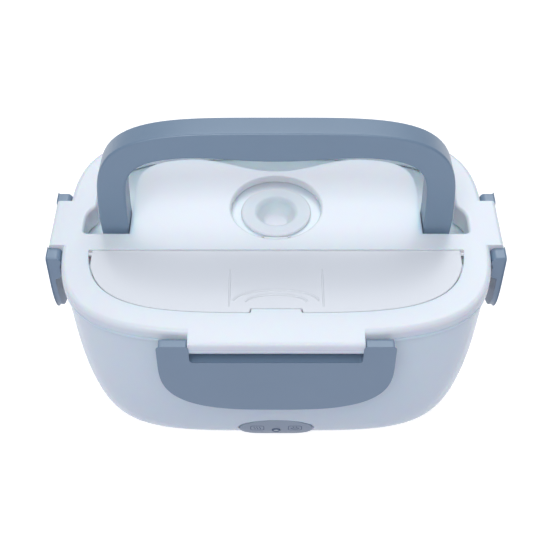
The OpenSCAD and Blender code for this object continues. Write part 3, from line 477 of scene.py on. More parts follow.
def makeShell():
    height, wall = shell["height"], shell["wall"]
    straight = height - shell["bellyHeight"]
    bends = [90 - 90 * k / 22 for k in range(23)]
    lipZ = levels["shellLow"] + shell["lipThick"]
    depths = [straight + shell["bellyHeight"] * math.sin(math.radians(t)) for t in bends]
    inner = [d for d in depths if d < height - shell["lipThick"] - 1]
    baseA = shellHalf(height, plan["halfLength"], shell["draftLength"]) - shell["lipWide"]
    baseB = shellHalf(height, plan["halfDepth"], shell["draftDepth"]) - shell["lipWide"]
    lipSquareness = plan["squareness"] + shell["squarenessGain"]
    rings = [ring(baseA, baseB, lipSquareness, levels["shellLow"])]
    rings += [shellRing(d) for d in depths]
    rings += [shellRing(straight * 0.6), shellRing(straight * 0.3), shellRing(1.2), shellRing(0.5, 0.05)]
    rings += [shellRing(0.15, 0.2), shellRing(0, 0.5), shellRing(0, wall - 0.2), shellRing(0.3, wall)]
    rings += [shellRing(straight * 0.3, wall), shellRing(straight * 0.6, wall)]
    rings += [shellRing(d, wall) for d in reversed(inner)]
    rings += [shellRing(height - shell["lipThick"], wall), ring(baseA, baseB, lipSquareness, lipZ)]
    piece = loft("outerShell", rings, hollow=True)
    for side in sides:
        half = blockHalf(side) - 8
        root = latchSpot["axisOut"] + shell["inset"] + wall / 2
        rib = prism("catchRib", [(-half, shell["ribIn"]), (half, shell["ribIn"]), (half, root), (-half, root)],
                    -shell["ribDrop"], -shell["ribDrop"] + shell["ribHigh"])
        roundEdges(rib, lambda edge: between(edge, 1, 0, 2), 0.5)
        onSide(rib, side)
        weld(piece, rib)
    cut(piece, prism("inletHole", [(-14, 60), (14, 60), (14, 90), (-14, 90)], 5.55, 26.05))
    hole = lathe("lensHole", [(panel["hole"], -8), (panel["hole"], 8)], 0, 0, 48)
    atLens(hole)
    cut(piece, hole)
    shares = [0.05, 0.3, 0.6, 0.85, 1, panel["recess"]]
    rings = [panelRing(share, -panel["sink"]) for share in shares] + [panelRing(share, 3) for share in reversed(shares)]
    cut(piece, loft("panelRecess", rings))
    return piece


outerShell = makeShell()
finishPiece(outerShell, "base", materials["white"], ["outer_shell"])
print("base shell ready")


# Lid: a rounded slab with pockets for the handle, the vent and the spoon compartment

lid = {
    "plugInset": 7.8, "rimRound": 2.6, "skirtRound": 0.5, "blockOut": 3.3, "barRearY": -7.6, "barFrontY": -20.3,
    "pivotY": 2.0, "grooveHalf": 97.2, "grooveY": 67.3, "grooveRise": 14.5, "pocketHalf": 102.2, "pocketRound": 11.0,
    "pocketY": 14.5, "pocketDepth": 15.6, "plateauHalf": 75.2, "plateauY": 49.7, "scoop": 10.7, "scoopHalf": 48.0,
    "plateauRound": 2.4, "pocketRim": 1.8, "floorRound": 4.5,
}
store = {"half": 98.0, "b": 64.6, "squareness": 3.8, "depth": 12.5, "ledge": 3.0, "coverDepth": 2.4, "notchHalf": 12.5,
         "notchY": 2.6}
vent = {"y": 12.4, "wellRound": 24.3, "wellDepth": 5.0, "hole": 11.0, "lip": 1.5, "floorRound": 2.4}


def storeOutline(inset, rear):
    a, b, e = store["half"] - inset, store["b"] - inset, store["squareness"]
    start = math.asin((-rear / b) ** (e / 2))
    points = []
    for i in range(81):
        t = math.pi + start + (math.pi - 2 * start) * i / 80
        points.append((a * signedPower(math.cos(t), 2 / e), b * signedPower(math.sin(t), 2 / e)))
    return points


def withNotch(points, grow):              # the lid's small tab reaches into the front of the cover
    half, depth = store["notchHalf"] + grow, store["notchY"] + grow
    front = [p for p in points if abs(p[0]) > half]
    left = [p for p in front if p[0] < 0]
    right = [p for p in front if p[0] > 0]
    edge = -store["b"] + depth
    return left + [(-half, left[-1][1]), (-half, edge), (half, edge), (half, right[0][1])] + right


def pocketOutline():
    arc = []
    for i in range(13):
        t = math.radians(57 * i / 12)
        arc.append((lid["pocketHalf"] - lid["pocketRound"] * (1 - math.cos(t)),
                    lid["pocketY"] - lid["pocketRound"] * (1 - math.sin(t))))
    right = [(lid["pocketHalf"], lid["barRearY"])] + arc
    rear = arch(lid["grooveHalf"], lid["grooveY"] - lid["grooveRise"], lid["grooveRise"], 3.8)
    left = [(-x, y) for x, y in reversed(right)]
    return softened(right + rear + left, 420, 2.4)


def plateauOutline():
    rear = arch(lid["plateauHalf"], lid["plateauY"] - lid["pivotY"], lid["pivotY"], 6.5, lid["scoop"], lid["scoopHalf"])
    front = lid["barRearY"] - 20
    return softened([(-lid["plateauHalf"], front), (lid["plateauHalf"], front)] + rear, 360, 2.4)


def island(name, outline, floor, top, topRound, footRound):    # what a ring-shaped cutter leaves standing
    rings = [[(x, y, floor - 1) for x, y in grown(outline, footRound)]]
    for s, c in quarter(5):
        rings.append([(x, y, floor + footRound * (1 - c)) for x, y in grown(outline, footRound * (1 - s))])
    for s, c in quarter(6):
        z = top + 0.015 - topRound * (1 - s)
        rings.append([(x, y, z) for x, y in grown(outline, topRound * (1 - c))])
    rings.append([(x, y, top + 6) for x, y in grown(outline, topRound)])
    return loft(name, rings)


def makeLid():
    top, skirt, low = levels["lidTop"], levels["skirt"], levels["plug"]
    rings = [planRing(lid["plugInset"] + 0.6, low), planRing(lid["plugInset"], low + 0.6)]
    rings += [planRing(lid["plugInset"], skirt), planRing(lid["skirtRound"], skirt)]
    rings += [planRing(0, skirt + lid["skirtRound"])]
    for s, c in quarter(7):
        rings.append(planRing(lid["rimRound"] * (1 - c), top - lid["rimRound"] * (1 - s)))
    piece = loft("lidTop", rings)
    for side in sides:
        weld(piece, hingeBlock(side))
    groove = pocket("groove", pocketOutline(), top - lid["pocketDepth"], top, lid["floorRound"], lid["pocketRim"])
    cut(groove, island("plateau", plateauOutline(), top - lid["pocketDepth"], top, lid["plateauRound"], 1.5))
    cut(piece, groove)
    well = oval(vent["wellRound"], vent["wellRound"], 2, 128)
    cut(piece, pocket("well", [(x, y + vent["y"]) for x, y in well], top - vent["wellDepth"], top, vent["floorRound"],
                      vent["lip"]))
    hole = oval(vent["hole"], vent["hole"], 2, 96)
    cut(piece, pocket("hole", [(x, y + vent["y"]) for x, y in hole], low - 2, top - vent["wellDepth"], 0.1, 0.5))
    recess = softened(withNotch(storeOutline(0, lid["barFrontY"]), 0), 560, 1.0)
    cut(piece, pocket("recess", recess, top - store["coverDepth"], top, 0.1, 0.35))
    trough = softened(storeOutline(store["ledge"], lid["barFrontY"] - 0.8), 500, 3.0)
    cut(piece, pocket("trough", trough, top - store["depth"], top - store["coverDepth"], 3.5, 0.3))
    relief = [(-97.9, -29), (97.9, -29), (97.9, -21.1), (-97.9, -21.1)]
    cut(piece, prism("relief", relief, top - 5, top - store["coverDepth"] + 0.05))
    return piece


def hingeBlock(side):
    half, out, drop = blockHalf(side), lid["blockOut"], latchSpot["axisDrop"]
    foot = levels["skirt"] - latchSpot["axisZ"]
    inner = latchSpot["axisOut"] + lid["rimRound"] + 3
    profile = [(-out, drop - 4.3), (-out, drop), (inner, drop), (inner, foot + 0.3), (0, foot + 0.3)]
    piece = prism("hingeBlock", [(-z, y) for y, z in profile], -half, half)
    place(piece, turn=(0, 90, 0))
    roundEdges(piece, lambda edge: between(edge, 1, -9, 1 - out) and between(edge, 2, drop - 0.1, drop + 0.1), 1.9, 5)
    roundEdges(piece, lambda edge: between(edge, 1, -9, 1 - out) and between(edge, 2, drop - 4.4, drop - 4.2), 0.5)
    barrel = prism("barrel", oval(3.2, 3.2, 2, 40), -half, half)
    place(barrel, turn=(0, 90, 0))
    weld(piece, barrel)
    onSide(piece, side)
    return piece


lidTop = makeLid()
finishPiece(lidTop, "lid", materials["white"], ["lid_top"])
print("lid ready")


# Handle: a U-shaped grip that leans back on its two pins

handle = {"pivot": (0, 2.0, 95.5), "lean": 8.0, "thick": 17.0, "outerHalf": 93.1, "footHalf": 92.1, "armInner": 77.8,
          "flare": 0.4, "rise": 64.1, "armRise": 12.5, "bar": 14.4, "swell": 2.5, "swellHalf": 50.0, "edge": 1.3,
          "squareOut": 4.0, "squareIn": 5.1}
pin = {"radius": 3.5, "low": 69.2, "high": 85.8}


def makeHandle():
    top = handle["rise"] - handle["armRise"]
    half = handle["thick"] / 2
    outer = arch(handle["outerHalf"], top, handle["armRise"], handle["squareOut"])
    inner = arch(handle["armInner"] + handle["flare"], top - handle["bar"], handle["armRise"], handle["squareIn"],
                 handle["swell"], handle["swellHalf"])
    foot, arm = handle["footHalf"], handle["armInner"]
    outline = [(foot, -half), (foot, 0)] + outer + [(-foot, 0), (-foot, -half)]
    outline += [(-arm, -half), (-arm, 0)] + list(reversed(inner)) + [(arm, 0), (arm, -half)]
    piece = prism("carryHandle", outline, -half, half)
    place(piece, turn=(90, 0, 0))
    sole = [(-half * math.cos(t), -half * math.sin(t)) for t in [math.pi * k / 24 for k in range(25)]]
    side = [(-z, y) for y, z in [(-half, handle["rise"] + 5)] + sole + [(half, handle["rise"] + 5)]]
    feet = prism("feet", side, -120, 120)
    place(feet, turn=(0, 90, 0))
    combine(piece, feet, "INTERSECT")
    roundEdges(piece, lambda edge: bend(edge) > 40, handle["edge"], 4)
    place(piece, turn=(-handle["lean"], 0, 0))
    place(piece, handle["pivot"])
    return piece


def makePins():
    pins = []
    for low, high in ((-pin["high"], -pin["low"]), (pin["low"], pin["high"])):
        pins.append(alongX("handlePin", oval(pin["radius"], pin["radius"], 2, 64), low, high))
        roundEdges(pins[-1], lambda edge: bend(edge) > 60, 0.5)
        place(pins[-1], (0, handle["pivot"][1], handle["pivot"][2]))
    weld(pins[0], pins[1])
    return pins[0]


carryHandle = makeHandle()
finishPiece(carryHandle, "handle", materials["blue"], ["handle"])
# the pins' darker blue-grey is painted shade of the gap between the arms and the lid
finishPiece(makePins(), "lid", materials["pin"], ["handle_pins"])
print("handle ready")


# Latches: a D-shaped plate, thick along its top edge and up its two arms

latch = {"barrel": 3.7, "thick": 2.8, "plateTop": 8.5, "squareness": 3.0, "gap": 0.3, "shoulder": 2.6, "slope": 1.5,
         "band": 3.0, "hookDrop": 16.0, "hookIn": 1.5, "hookHigh": 1.6, "edge": 0.9, "notchRound": 2.8}
drops = {"front": 44.5, "rear": 44.5, "left": 44.5, "right": 44.5}
arms = {"front": 14.0, "rear": 14.0, "left": 8.0, "right": 8.0}


def latchOutline(inner, outer, drop):
    top, high, turn = latch["plateTop"], latch["barrel"] - 0.08, latch["notchRound"]
    curve = []
    for i in range(97):
        t = math.pi + math.pi * i / 96
        curve.append((outer * signedPower(math.cos(t), 2 / latch["squareness"]),
                      -top + (drop - top) * signedPower(math.sin(t), 2 / latch["squareness"])))
    corner = [(inner - turn * (1 - c), turn - top - turn * s) for s, c in quarter(8)]
    curve += [(outer, high), (inner, high)] + corner
    curve += [(-x, z) for x, z in reversed(corner)] + [(-inner, high), (-outer, high)]
    return softened(curve, 560 if inner > 30 else 380, 1.2)


def makeLatch(side):
    inner = blockHalf(side) + latch["gap"]
    outer = inner + arms[side]
    barrel, top, band, edge = latch["barrel"], latch["plateTop"], latch["band"], latch["edge"]
    outline = latchOutline(inner, outer, drops[side])
    rings = [[(x, z, -latch["shoulder"] - 1) for x, z in outline]]
    for s, c in quarter(5):
        rings.append([(x, z, barrel - edge * (1 - s)) for x, z in grown(outline, edge * (1 - c))])
    piece = loft(side + "Latch", rings)
    place(piece, turn=(90, 0, 0))
    front = [(-barrel - 1, -drops[side] - 5), (-barrel - 1, 8), (0.5, 8)]
    rear = [(barrel * math.sin(t), barrel * math.cos(t)) for t in [math.radians(9.5 + 80.5 * k / 14) for k in range(15)]]
    slope = latch["slope"]
    low = [(latch["shoulder"], -2.6), (latch["shoulder"], -top - slope / 2), (latch["shoulder"] - slope, -top - band)]
    low += [(latch["thick"] - barrel + 0.8, -top - band), (latch["thick"] - barrel, -top - band - 0.8)]
    low += [(latch["thick"] - barrel, -drops[side] - 5)]
    combine(piece, alongX("section", front + rear + low, -outer - 5, outer + 5), "INTERSECT")
    hookHalf = blockHalf(side) - 10
    hookTop = -latch["hookDrop"]
    hook = [(-barrel + 1, hookTop - 2.4), (-barrel + 1, hookTop), (latch["hookIn"], hookTop),
            (latch["hookIn"], hookTop - 0.7), (latch["hookIn"] - 0.9, hookTop - latch["hookHigh"])]
    weld(piece, alongX("hook", hook, -hookHalf, hookHalf))
    onSide(piece, side)
    return piece


for side in sides:
    finishPiece(makeLatch(side), "latch_" + side, materials["blue"], ["latch_" + side])
print("latches ready")


# Storage cover: a clear lid with a grip ridge and two ribs

cover = {"gap": 0.55, "low": 99.9, "thick": 1.8, "edge": 0.35, "earX": 95.8, "earY": -35.3, "axis": (-23.05, 100.8),
         "ridges": ((21.2, 7.4, -56.6), (15.2, 4.8, -57.2)), "rib": (23.5, -60.6, -34.6)}


def makeCover():
    outline = withNotch(storeOutline(cover["gap"], lid["barFrontY"] - cover["gap"]), cover["gap"])
    earX = cover["earX"]
    outline = [(max(-earX, min(earX, x)), y) if y > cover["earY"] else (x, y) for x, y in outline]
    outline = softened(outline, 560, 1.0)
    high, edge = cover["low"] + cover["thick"], cover["edge"]
    rings = [[(x, y, cover["low"]) for x, y in grown(outline, -0.15)], [(x, y, cover["low"] + 0.15) for x, y in outline]]
    for s, c in quarter(4):
        rings.append([(x, y, high - edge * (1 - s)) for x, y in grown(outline, -edge * (1 - c))])
    piece = loft("storageCover", rings)
    for half, rise, y in cover["ridges"]:
        path = [(half * math.cos(t), y + rise * math.sin(t), high - 0.05) for t in [math.pi * k / 40 for k in range(41)]]
        weld(piece, tube("ridge", path, 0.7))
    rear = lid["barFrontY"] - cover["gap"] - 0.75
    weld(piece, tube("rearBead", [(-94 + 188 * k / 8, rear, high - 0.2) for k in range(9)], 0.5))
    x, low, top = cover["rib"]
    for side in (-x, x):
        weld(piece, tube("rib", [(side, low + (top - low) * k / 6, high - 0.05) for k in range(7)], 0.62))
    for low, top in ((-100, -93), (93, 100)):
        weld(piece, alongX("stub", [(cover["axis"][0] + y, cover["axis"][1] + z) for y, z in oval(0.98, 0.98, 2, 24)],
                           low, top))
    return piece


finishPiece(makeCover(), "cover", materials["clear"], ["storage_cover"])
print("storage cover ready")


# Vent: a silicone plug with a cup, and the pegged tab it folds about

plug = {"y": 12.4, "low": 97.3, "thick": 1.4, "half": 19.0, "cupTop": 10.7, "cupLow": 7.5, "cupHigh": 9.0, "skin": 1.2,
        "rimRound": 1.0, "mouthRound": 3.0}
tab = {"half": 9.5, "front": -11.6, "axis": -7.6, "low": 97.0, "pegX": 7.0, "pegY": -8.7, "peg": 1.3}


def makePlug():
    low, high = plug["low"], plug["low"] + plug["thick"]
    foot = low - plug["cupHigh"]
    profile = [(plug["cupLow"] - 1, foot), (plug["cupLow"] - 0.3, foot + 0.3), (plug["cupLow"], foot + 1)]
    profile += [(plug["cupTop"], low - 0.4), (plug["cupTop"] + 0.4, low), (plug["half"] - 0.3, low), (plug["half"], low + 0.3)]
    for s, c in quarter(4):
        profile.append((plug["half"] - plug["rimRound"] * (1 - c), high - plug["rimRound"] * (1 - s)))
    mouth, turn = plug["cupTop"] - plug["skin"], plug["mouthRound"]
    profile += [(plug["half"] - 2.0, high), (plug["half"] - 3.0, high - 0.2), (mouth + turn, high - 0.2)]
    for s, c in quarter(6):
        profile.append((mouth + turn - turn * s, high - 0.2 - turn * (1 - c)))
    bowl = plug["cupLow"] - plug["skin"] + 0.4
    floor = foot + plug["skin"] + 0.8
    for s, c in quarter(6):
        profile.append((bowl + 0.9 - 2.6 * (1 - c), floor + 2.6 * (1 - s)))
    return lathe("ventPlug", profile, 0, plug["y"])


def makeTab():
    outline = []
    for i in range(25):
        x = -tab["half"] + 2 * tab["half"] * i / 24
        outline.append((x, max(tab["front"], vent["y"] - math.sqrt(24.0 ** 2 - x * x))))
    outline += [(tab["half"], tab["axis"] - 0.7), (tab["half"], tab["axis"]), (-tab["half"], tab["axis"])]
    outline = softened(outline, 120, 0.8)
    high = tab["low"] + 1.7
    rings = [[(x, y, tab["low"]) for x, y in outline]]
    for s, c in quarter(4):
        rings.append([(x, y, high - 0.4 * (1 - s)) for x, y in grown(outline, -0.4 * (1 - c))])
    piece = loft("ventTab", rings)
    for x in (-tab["pegX"], tab["pegX"]):
        peg = [(tab["peg"], tab["low"] - 2.9)]
        peg += [(tab["peg"] * c + 0.02, high + 0.5 * s) for s, c in quarter(5)]
        weld(piece, lathe("peg", peg, x, tab["pegY"], 32))
        cut(piece, lathe("dimple", [(0.7, high - 1), (0.75, high + 2)], x, tab["pegY"], 24))
    return piece


finishPiece(makePlug(), "vent", materials["silicone"], ["vent_plug"])
finishPiece(makeTab(), "lid", materials["silicone"], ["vent_tab"])
print("vent ready")


# Spoon: a folded-looking flat grip and an oval bowl

spoon = {"y": -44.0, "z": 89.8, "bowlLength": 54.0, "bowlWide": 25.0, "high": 4.4, "bowlX": 44.0, "neckX": 14.0,
         "grip": 80.0, "gripWide": 13.4, "neckWide": 10.0, "gripHigh": 1.2, "thick": 1.2}


def spoonRing(x, halfWide, low):
    top, under, steps = [], [], 14
    for k in range(steps + 1):
        share = -1 + 2 * k / steps
        z = low + (spoon["high"] - low) * abs(share) ** 2.2
        top.append((x, spoon["y"] + halfWide * share, spoon["z"] + z))
        under.append((x, spoon["y"] + halfWide * share * 0.985, spoon["z"] + z - spoon["thick"]))
    return top + list(reversed(under))


def makeSpoon():
    rings = []
    end = spoon["neckX"] - spoon["grip"]
    for k in range(25):
        share = 1 - math.cos(math.pi / 2 * k / 24)
        x = end + spoon["grip"] * share
        wide = spoon["neckWide"] / 2 + (spoon["gripWide"] - spoon["neckWide"]) / 2 * (spoon["neckX"] - x) / spoon["grip"]
        corner = min(1, (x - end) / 5)
        rings.append(spoonRing(x, wide * (0.35 + 0.65 * math.sqrt(1 - (1 - corner) ** 2)), spoon["high"] - 0.9))
    half = spoon["bowlLength"] / 2
    tip = spoon["bowlX"] + half
    for k in range(1, 41):
        share = k / 40
        x = spoon["neckX"] + (tip - 0.4 - spoon["neckX"]) * (1 - (1 - share) ** 1.7)
        across = 1 - ((x - spoon["bowlX"]) / half) ** 2
        wide = spoon["bowlWide"] / 2 * math.sqrt(max(across, 0))
        ease = min(1, (x - spoon["neckX"]) / 14)
        wide = max(wide, (1 - ease) * spoon["neckWide"] / 2)
        low = spoon["thick"] + (spoon["high"] - 0.9 - spoon["thick"]) * max(1 - max(across, 0) ** 0.6, 0)
        rings.append(spoonRing(x, wide, low))
    return loft("spoonPiece", rings)


finishPiece(makeSpoon(), "spoon", materials["white"], ["spoon"], 50)
print("spoon ready")


# Indicator: an oval panel on the curved front wall, with its lamp and two pictograms

ink = {"stroke": 0.45, "low": -0.1, "high": 0.04, "x": 10.3, "z": 13.4, "half": 3.6, "halfHigh": 2.6}
lamp = {"inner": 1.5, "outer": 2.3, "out": proudAt(panel["lensZ"]) * math.cos(math.radians(panel["tilt"]))}


def makePanel():
    back = [(0.05, -0.65), (0.3, -0.65), (0.6, -0.65), (0.85, -0.65), (0.985, -0.65), (1, -0.5)]
    face = [(1, -0.25), (0.992, -0.08), (0.975, 0), (0.92, 0), (0.85, 0), (0.6, 0), (0.3, 0), (0.05, 0)]
    rings = [panelRing(share, out) for share, out in back] + [panelRing(share, out, True) for share, out in face]
    piece = loft("indicatorPanel", rings)
    radius, out = panel["hole"], lamp["out"]
    hole = lathe("hole", [(radius, -8), (radius, out - 0.2), (radius + 0.3, out + 0.2), (radius + 0.3, out + 4)])
    atLens(hole)
    cut(piece, hole)
    return piece


def makeLens():
    inner, out = lamp["inner"], lamp["out"]
    profile = [(inner, -6), (inner, out)] + [(0.05 + (inner - 0.05) * c, out + 0.35 * s) for s, c in quarter(5)]
    piece = lathe("lampLens", profile, 0, 0, 48)
    atLens(piece)
    return piece


def makeLampRing():
    inner, outer, out = lamp["inner"] + 0.03, lamp["outer"], lamp["out"]
    profile = [(inner, -5), (outer, -5), (outer, out + 0.1), (outer - 0.1, out + 0.32), (outer - 0.3, out + 0.4),
               (inner + 0.15, out + 0.4), (inner, out + 0.25)]
    rings = [[(x, y, z) for x, y in oval(r, r, 2, 64)] for r, z in profile]
    piece = loft("lampRing", rings, hollow=True)
    atLens(piece)
    return piece


def ontoWall(piece):                      # from a flat drawing, whose third value is the height over the wall
    for vertex in piece.data.vertices:
        x, z, out = vertex.co
        vertex.co = (x, frontWall(x, z) - proudAt(z) - out, z)
    edit(piece)
    pointOutwards()
    leaveEdit()
    return piece


def inkLoop(outline):
    half = ink["stroke"] / 2
    steps = [(half, ink["low"]), (half, ink["high"]), (-half, ink["high"]), (-half, ink["low"])]
    return ontoWall(loft("ink", [[(x, z, out) for x, z in grown(outline, far)] for far, out in steps], hollow=True))


def inkLine(points):
    half = ink["stroke"] / 2
    left, right = [], []
    for i, (x, z) in enumerate(points):
        (x0, z0), (x1, z1) = points[max(i - 1, 0)], points[min(i + 1, len(points) - 1)]
        size = math.hypot(x1 - x0, z1 - z0)
        across = (-(z1 - z0) / size * half, (x1 - x0) / size * half)
        left.append((x + across[0], z + across[1]))
        right.append((x - across[0], z - across[1]))
    return ontoWall(prism("ink", left + right[::-1], ink["low"], ink["high"]))


def makePictograms():                     # heat waves on the left, a bowl with its steam on the right
    x, z = ink["x"], ink["z"]
    strokes = []
    for side in (-x, x):
        strokes.append(inkLoop([(side + px, z + pz) for px, pz in oval(ink["half"], ink["halfHigh"], 6, 64)]))
    for wave in (-x - 1.5, -x, 1.5 - x):
        strokes.append(inkLine([(wave + 0.35 * math.sin(math.pi * k / 5), z - 1.4 + 0.28 * k) for k in range(11)]))
    bowl = [(x + 2.2 * math.cos(t), z + 0.1 + 1.5 * math.sin(t)) for t in [math.pi + math.pi * k / 24 for k in range(25)]]
    strokes.append(inkLoop(bowl + [(x + 2.2 - 4.4 * k / 12, z + 0.1) for k in range(1, 12)]))
    for steam in (x - 0.9, x + 0.9):
        strokes.append(inkLine([(steam + 0.15 * math.sin(math.pi * k / 3), z + 0.7 + 0.17 * k) for k in range(7)]))
    activate(strokes[0])
    for stroke in strokes[1:]:
        stroke.select_set(True)
    bpy.ops.object.join()
    strokes[0].name = strokes[0].data.name = "pictograms"
    return strokes[0]


finishPiece(makePanel(), "base", materials["panel"], ["indicator_panel"])
finishPiece(makeLens(), "base", materials["lens"], ["lamp_lens"])
finishPiece(makeLampRing(), "base", materials["ink"])
finishPiece(makePictograms(), "base", materials["ink"])
print("indicator ready")


# Basin, trays and the lid's underside

basin = {"halfLength": 97.2, "halfDepth": 63.4, "wall": 1.8, "bend": 9.0, "z": 30.0, "ledgeIn": 10.4, "openIn": 6.6,
         "ledgeZ": 79.1, "flangeZ": 92.8, "rimZ": 95.0, "flangeIn": 0.2, "post": (50.0, 44.0, 4.0)}
tray = {"inset": 11.2, "draft": 4.4, "z": 32.4, "bend": 7.0, "top": 81.0, "flangeIn": 7.4, "flange": 1.6, "wall": 1.4,
        "floor": 33.8, "wallZ": 39.0, "partitionX": 28.0, "partition": 33.0}
insert = {"x": 29.7, "inset": 13.6, "low": 34.1, "high": 79.4}


def makeBasin():
    a, b, wall, bendRound = basin["halfLength"], basin["halfDepth"], basin["wall"], basin["bend"]
    turns = [90 * k / 8 for k in range(9)]
    rings = []
    for t in [math.radians(t) for t in turns]:
        inset = bendRound * (1 - math.sin(t)) - wall
        rings.append(ring(a - inset, b - inset, plan["squareness"], basin["z"] + bendRound * (1 - math.cos(t))))
    rings += [planRing(basin["ledgeIn"] - wall, basin["ledgeZ"] - wall)]
    rings += [planRing(basin["openIn"] - wall + 0.4, basin["ledgeZ"] - wall), planRing(basin["openIn"] - wall, basin["flangeZ"])]
    rings += [planRing(basin["flangeIn"] + 0.6, basin["flangeZ"]), planRing(basin["flangeIn"], basin["flangeZ"] + 0.6)]
    for s, c in quarter(4):
        rings.append(planRing(basin["flangeIn"] + 0.8 * (1 - c), basin["rimZ"] - 0.8 * (1 - s)))
    for s, c in reversed(quarter(4)):
        rings.append(planRing(basin["openIn"] - 0.7 * (1 - c), basin["rimZ"] - 0.7 * (1 - s)))
    rings += [planRing(basin["openIn"] + 0.35, basin["ledgeZ"] + 0.6), planRing(basin["openIn"] + 0.8, basin["ledgeZ"])]
    rings += [planRing(basin["ledgeIn"] - 0.5, basin["ledgeZ"]), planRing(basin["ledgeIn"], basin["ledgeZ"] - 0.5)]
    inner = bendRound - wall
    for t in [math.radians(t) for t in reversed(turns)]:
        inset = inner * (1 - math.sin(t))
        z = basin["z"] + wall + inner * (1 - math.cos(t))
        rings.append(ring(a - inset, b - inset, plan["squareness"], z))
    piece = loft("innerBasin", rings)
    x, y, radius = basin["post"]
    for px in (-x, x):
        for py in (-y, y):
            weld(piece, lathe("post", [(radius, 4.2), (radius, basin["z"] + 0.9)], px, py, 40))
            cut(piece, lathe("pilot", [(1.45, 3), (1.45, 15.5)], px, py, 24))
    cut(piece, prism("heaterHole", oval(60, 36, 3, 96), basin["z"] - 1, basin["z"] + wall + 1))
    return piece


def trayInset(z):
    return tray["inset"] + tray["draft"] * (basin["ledgeZ"] - z) / (basin["ledgeZ"] - tray["wallZ"])


def trayRing(z, inset):
    return planRing(trayInset(z) + inset, z)


def makeTray():
    bendRound, wall, top = tray["bend"], tray["wall"], tray["top"]
    rings = []
    for s, c in quarter(7):
        rings.append(trayRing(tray["z"] + bendRound * (1 - c), bendRound * (1 - s)))
    rings += [trayRing(top - tray["flange"] - 0.4, 0), trayRing(top - tray["flange"], -0.4)]
    rings += [planRing(tray["flangeIn"] + 0.3, top - tray["flange"]), planRing(tray["flangeIn"], top - tray["flange"] + 0.3)]
    for s, c in quarter(4):
        rings.append(planRing(tray["flangeIn"] + 0.6 * (1 - c), top - 0.6 * (1 - s)))
    for s, c in reversed(quarter(4)):
        rings.append(planRing(trayInset(top) + wall - 0.8 * (1 - c), top - 0.8 * (1 - s)))
    floorRound = bendRound - wall * 0.4
    for s, c in reversed(quarter(7)):
        rings.append(trayRing(tray["floor"] + floorRound * (1 - c), wall + floorRound * (1 - s)))
    piece = loft("foodTray", rings)
    x, half = tray["partitionX"], wall / 2
    profile = [(x - half - 1.5, tray["floor"] - 0.5), (x - half - 1.5, tray["floor"]), (x - half - 0.45, tray["floor"] + 0.45),
               (x - half, tray["floor"] + 1.6)]
    profile += [(x - half * c, tray["floor"] + tray["partition"] - half * (1 - s)) for s, c in quarter(4)]
    profile = profile + [(2 * x - px, z) for px, z in reversed(profile)]
    wallPiece = prism("partition", profile, -80, 80)
    place(wallPiece, turn=(90, 0, 0))
    rings = [trayRing(tray["z"] + bendRound * (1 - c), wall / 2 + bendRound * (1 - s)) for s, c in quarter(7)]
    combine(wallPiece, loft("room", rings + [trayRing(top - 2, wall / 2)]), "INTERSECT")
    weld(piece, wallPiece)
    return piece


def insertRing(z, inset):
    g = insert["inset"] + inset + trayInset(z) - tray["inset"]
    a, b, x0 = plan["halfLength"] - g, plan["halfDepth"] - g, insert["x"] + inset
    stop = math.acos((x0 / a) ** (plan["squareness"] / 2))
    points = []
    for i in range(81):
        t = stop * (i / 40 - 1)
        points.append((a * signedPower(math.cos(t), 2 / plan["squareness"]),
                       b * signedPower(math.sin(t), 2 / plan["squareness"])))
    return [(x, y, z) for x, y in softened(points, 160, 5)]


def makeInsert():
    low, high, wall = insert["low"], insert["high"], tray["wall"]
    rings = [insertRing(low + 5 * (1 - c), 5 * (1 - s)) for s, c in quarter(6)]
    rings += [insertRing(high - 3, 0), insertRing(high - 3, -0.4), insertRing(high - 2.8, -0.6)]
    rings += [insertRing(high - 0.4 * (1 - s), -0.6 + 0.4 * (1 - c)) for s, c in quarter(4)]
    rings += [insertRing(high - 0.5 * (1 - s), wall - 0.5 * (1 - c)) for s, c in reversed(quarter(4))]
    rings += [insertRing(low + wall + 4.5 * (1 - c), wall + 4.5 * (1 - s)) for s, c in reversed(quarter(6))]
    return loft("trayInsert", rings)


def makeUnderside():
    under, seal, plugZ = 8.1, 12.15, levels["plug"]
    rings = [planRing(seal + 0.8, plugZ - 2.4), planRing(seal, plugZ - 2.0), planRing(seal, plugZ - 1.2)]
    rings += [planRing(under + 0.3, plugZ - 1.2), planRing(under, plugZ - 0.9), planRing(under, plugZ)]
    piece = loft("lidUnderside", rings)
    for k in range(6):
        t = math.pi / 3 * k
        cut(piece, lathe("hole", [(1.2, plugZ - 4), (1.2, plugZ + 1)], 5 * math.cos(t), vent["y"] + 5 * math.sin(t), 24))
    return piece


def makeSeal():
    low, high = levels["plug"] - 3.1, levels["plug"] - 1.2
    rings = [planRing(8.1, high), planRing(8.1, low + 0.8), planRing(8.3, low + 0.3), planRing(8.9, low)]
    rings += [planRing(9.4, low + 0.15), planRing(9.9, low + 0.5), planRing(10.3, low + 0.5), planRing(10.8, low + 0.15)]
    rings += [planRing(11.3, low), planRing(11.9, low + 0.3), planRing(12.1, low + 0.8), planRing(12.1, high)]
    return loft("lidSeal", rings, hollow=True)


finishPiece(makeBasin(), "base", materials["basin"], ["inner_basin"])
finishPiece(makeTray(), "tray", materials["tray"], ["food_tray"])
finishPiece(makeInsert(), "insert", materials["blue"], ["tray_insert"])
finishPiece(makeUnderside(), "lid", materials["white"], ["lid_underside"])
finishPiece(makeSeal(), "lid", materials["silicone"], ["lid_seal"])
print("basin and trays ready")


# Bottom plate, feet, screws and mains inlet

base = {"gap": 0.4, "thick": 2.2, "slot": (2.4, 30.0, 8.0), "screw": (50.0, 44.0), "foot": (69.5, 41.9, 6.5)}
inlet = {"z": 15.8, "y": 70.67, "wide": 24.0, "high": 16.5, "wall": 2.0, "deep": 20.0, "bevel": 5.0}


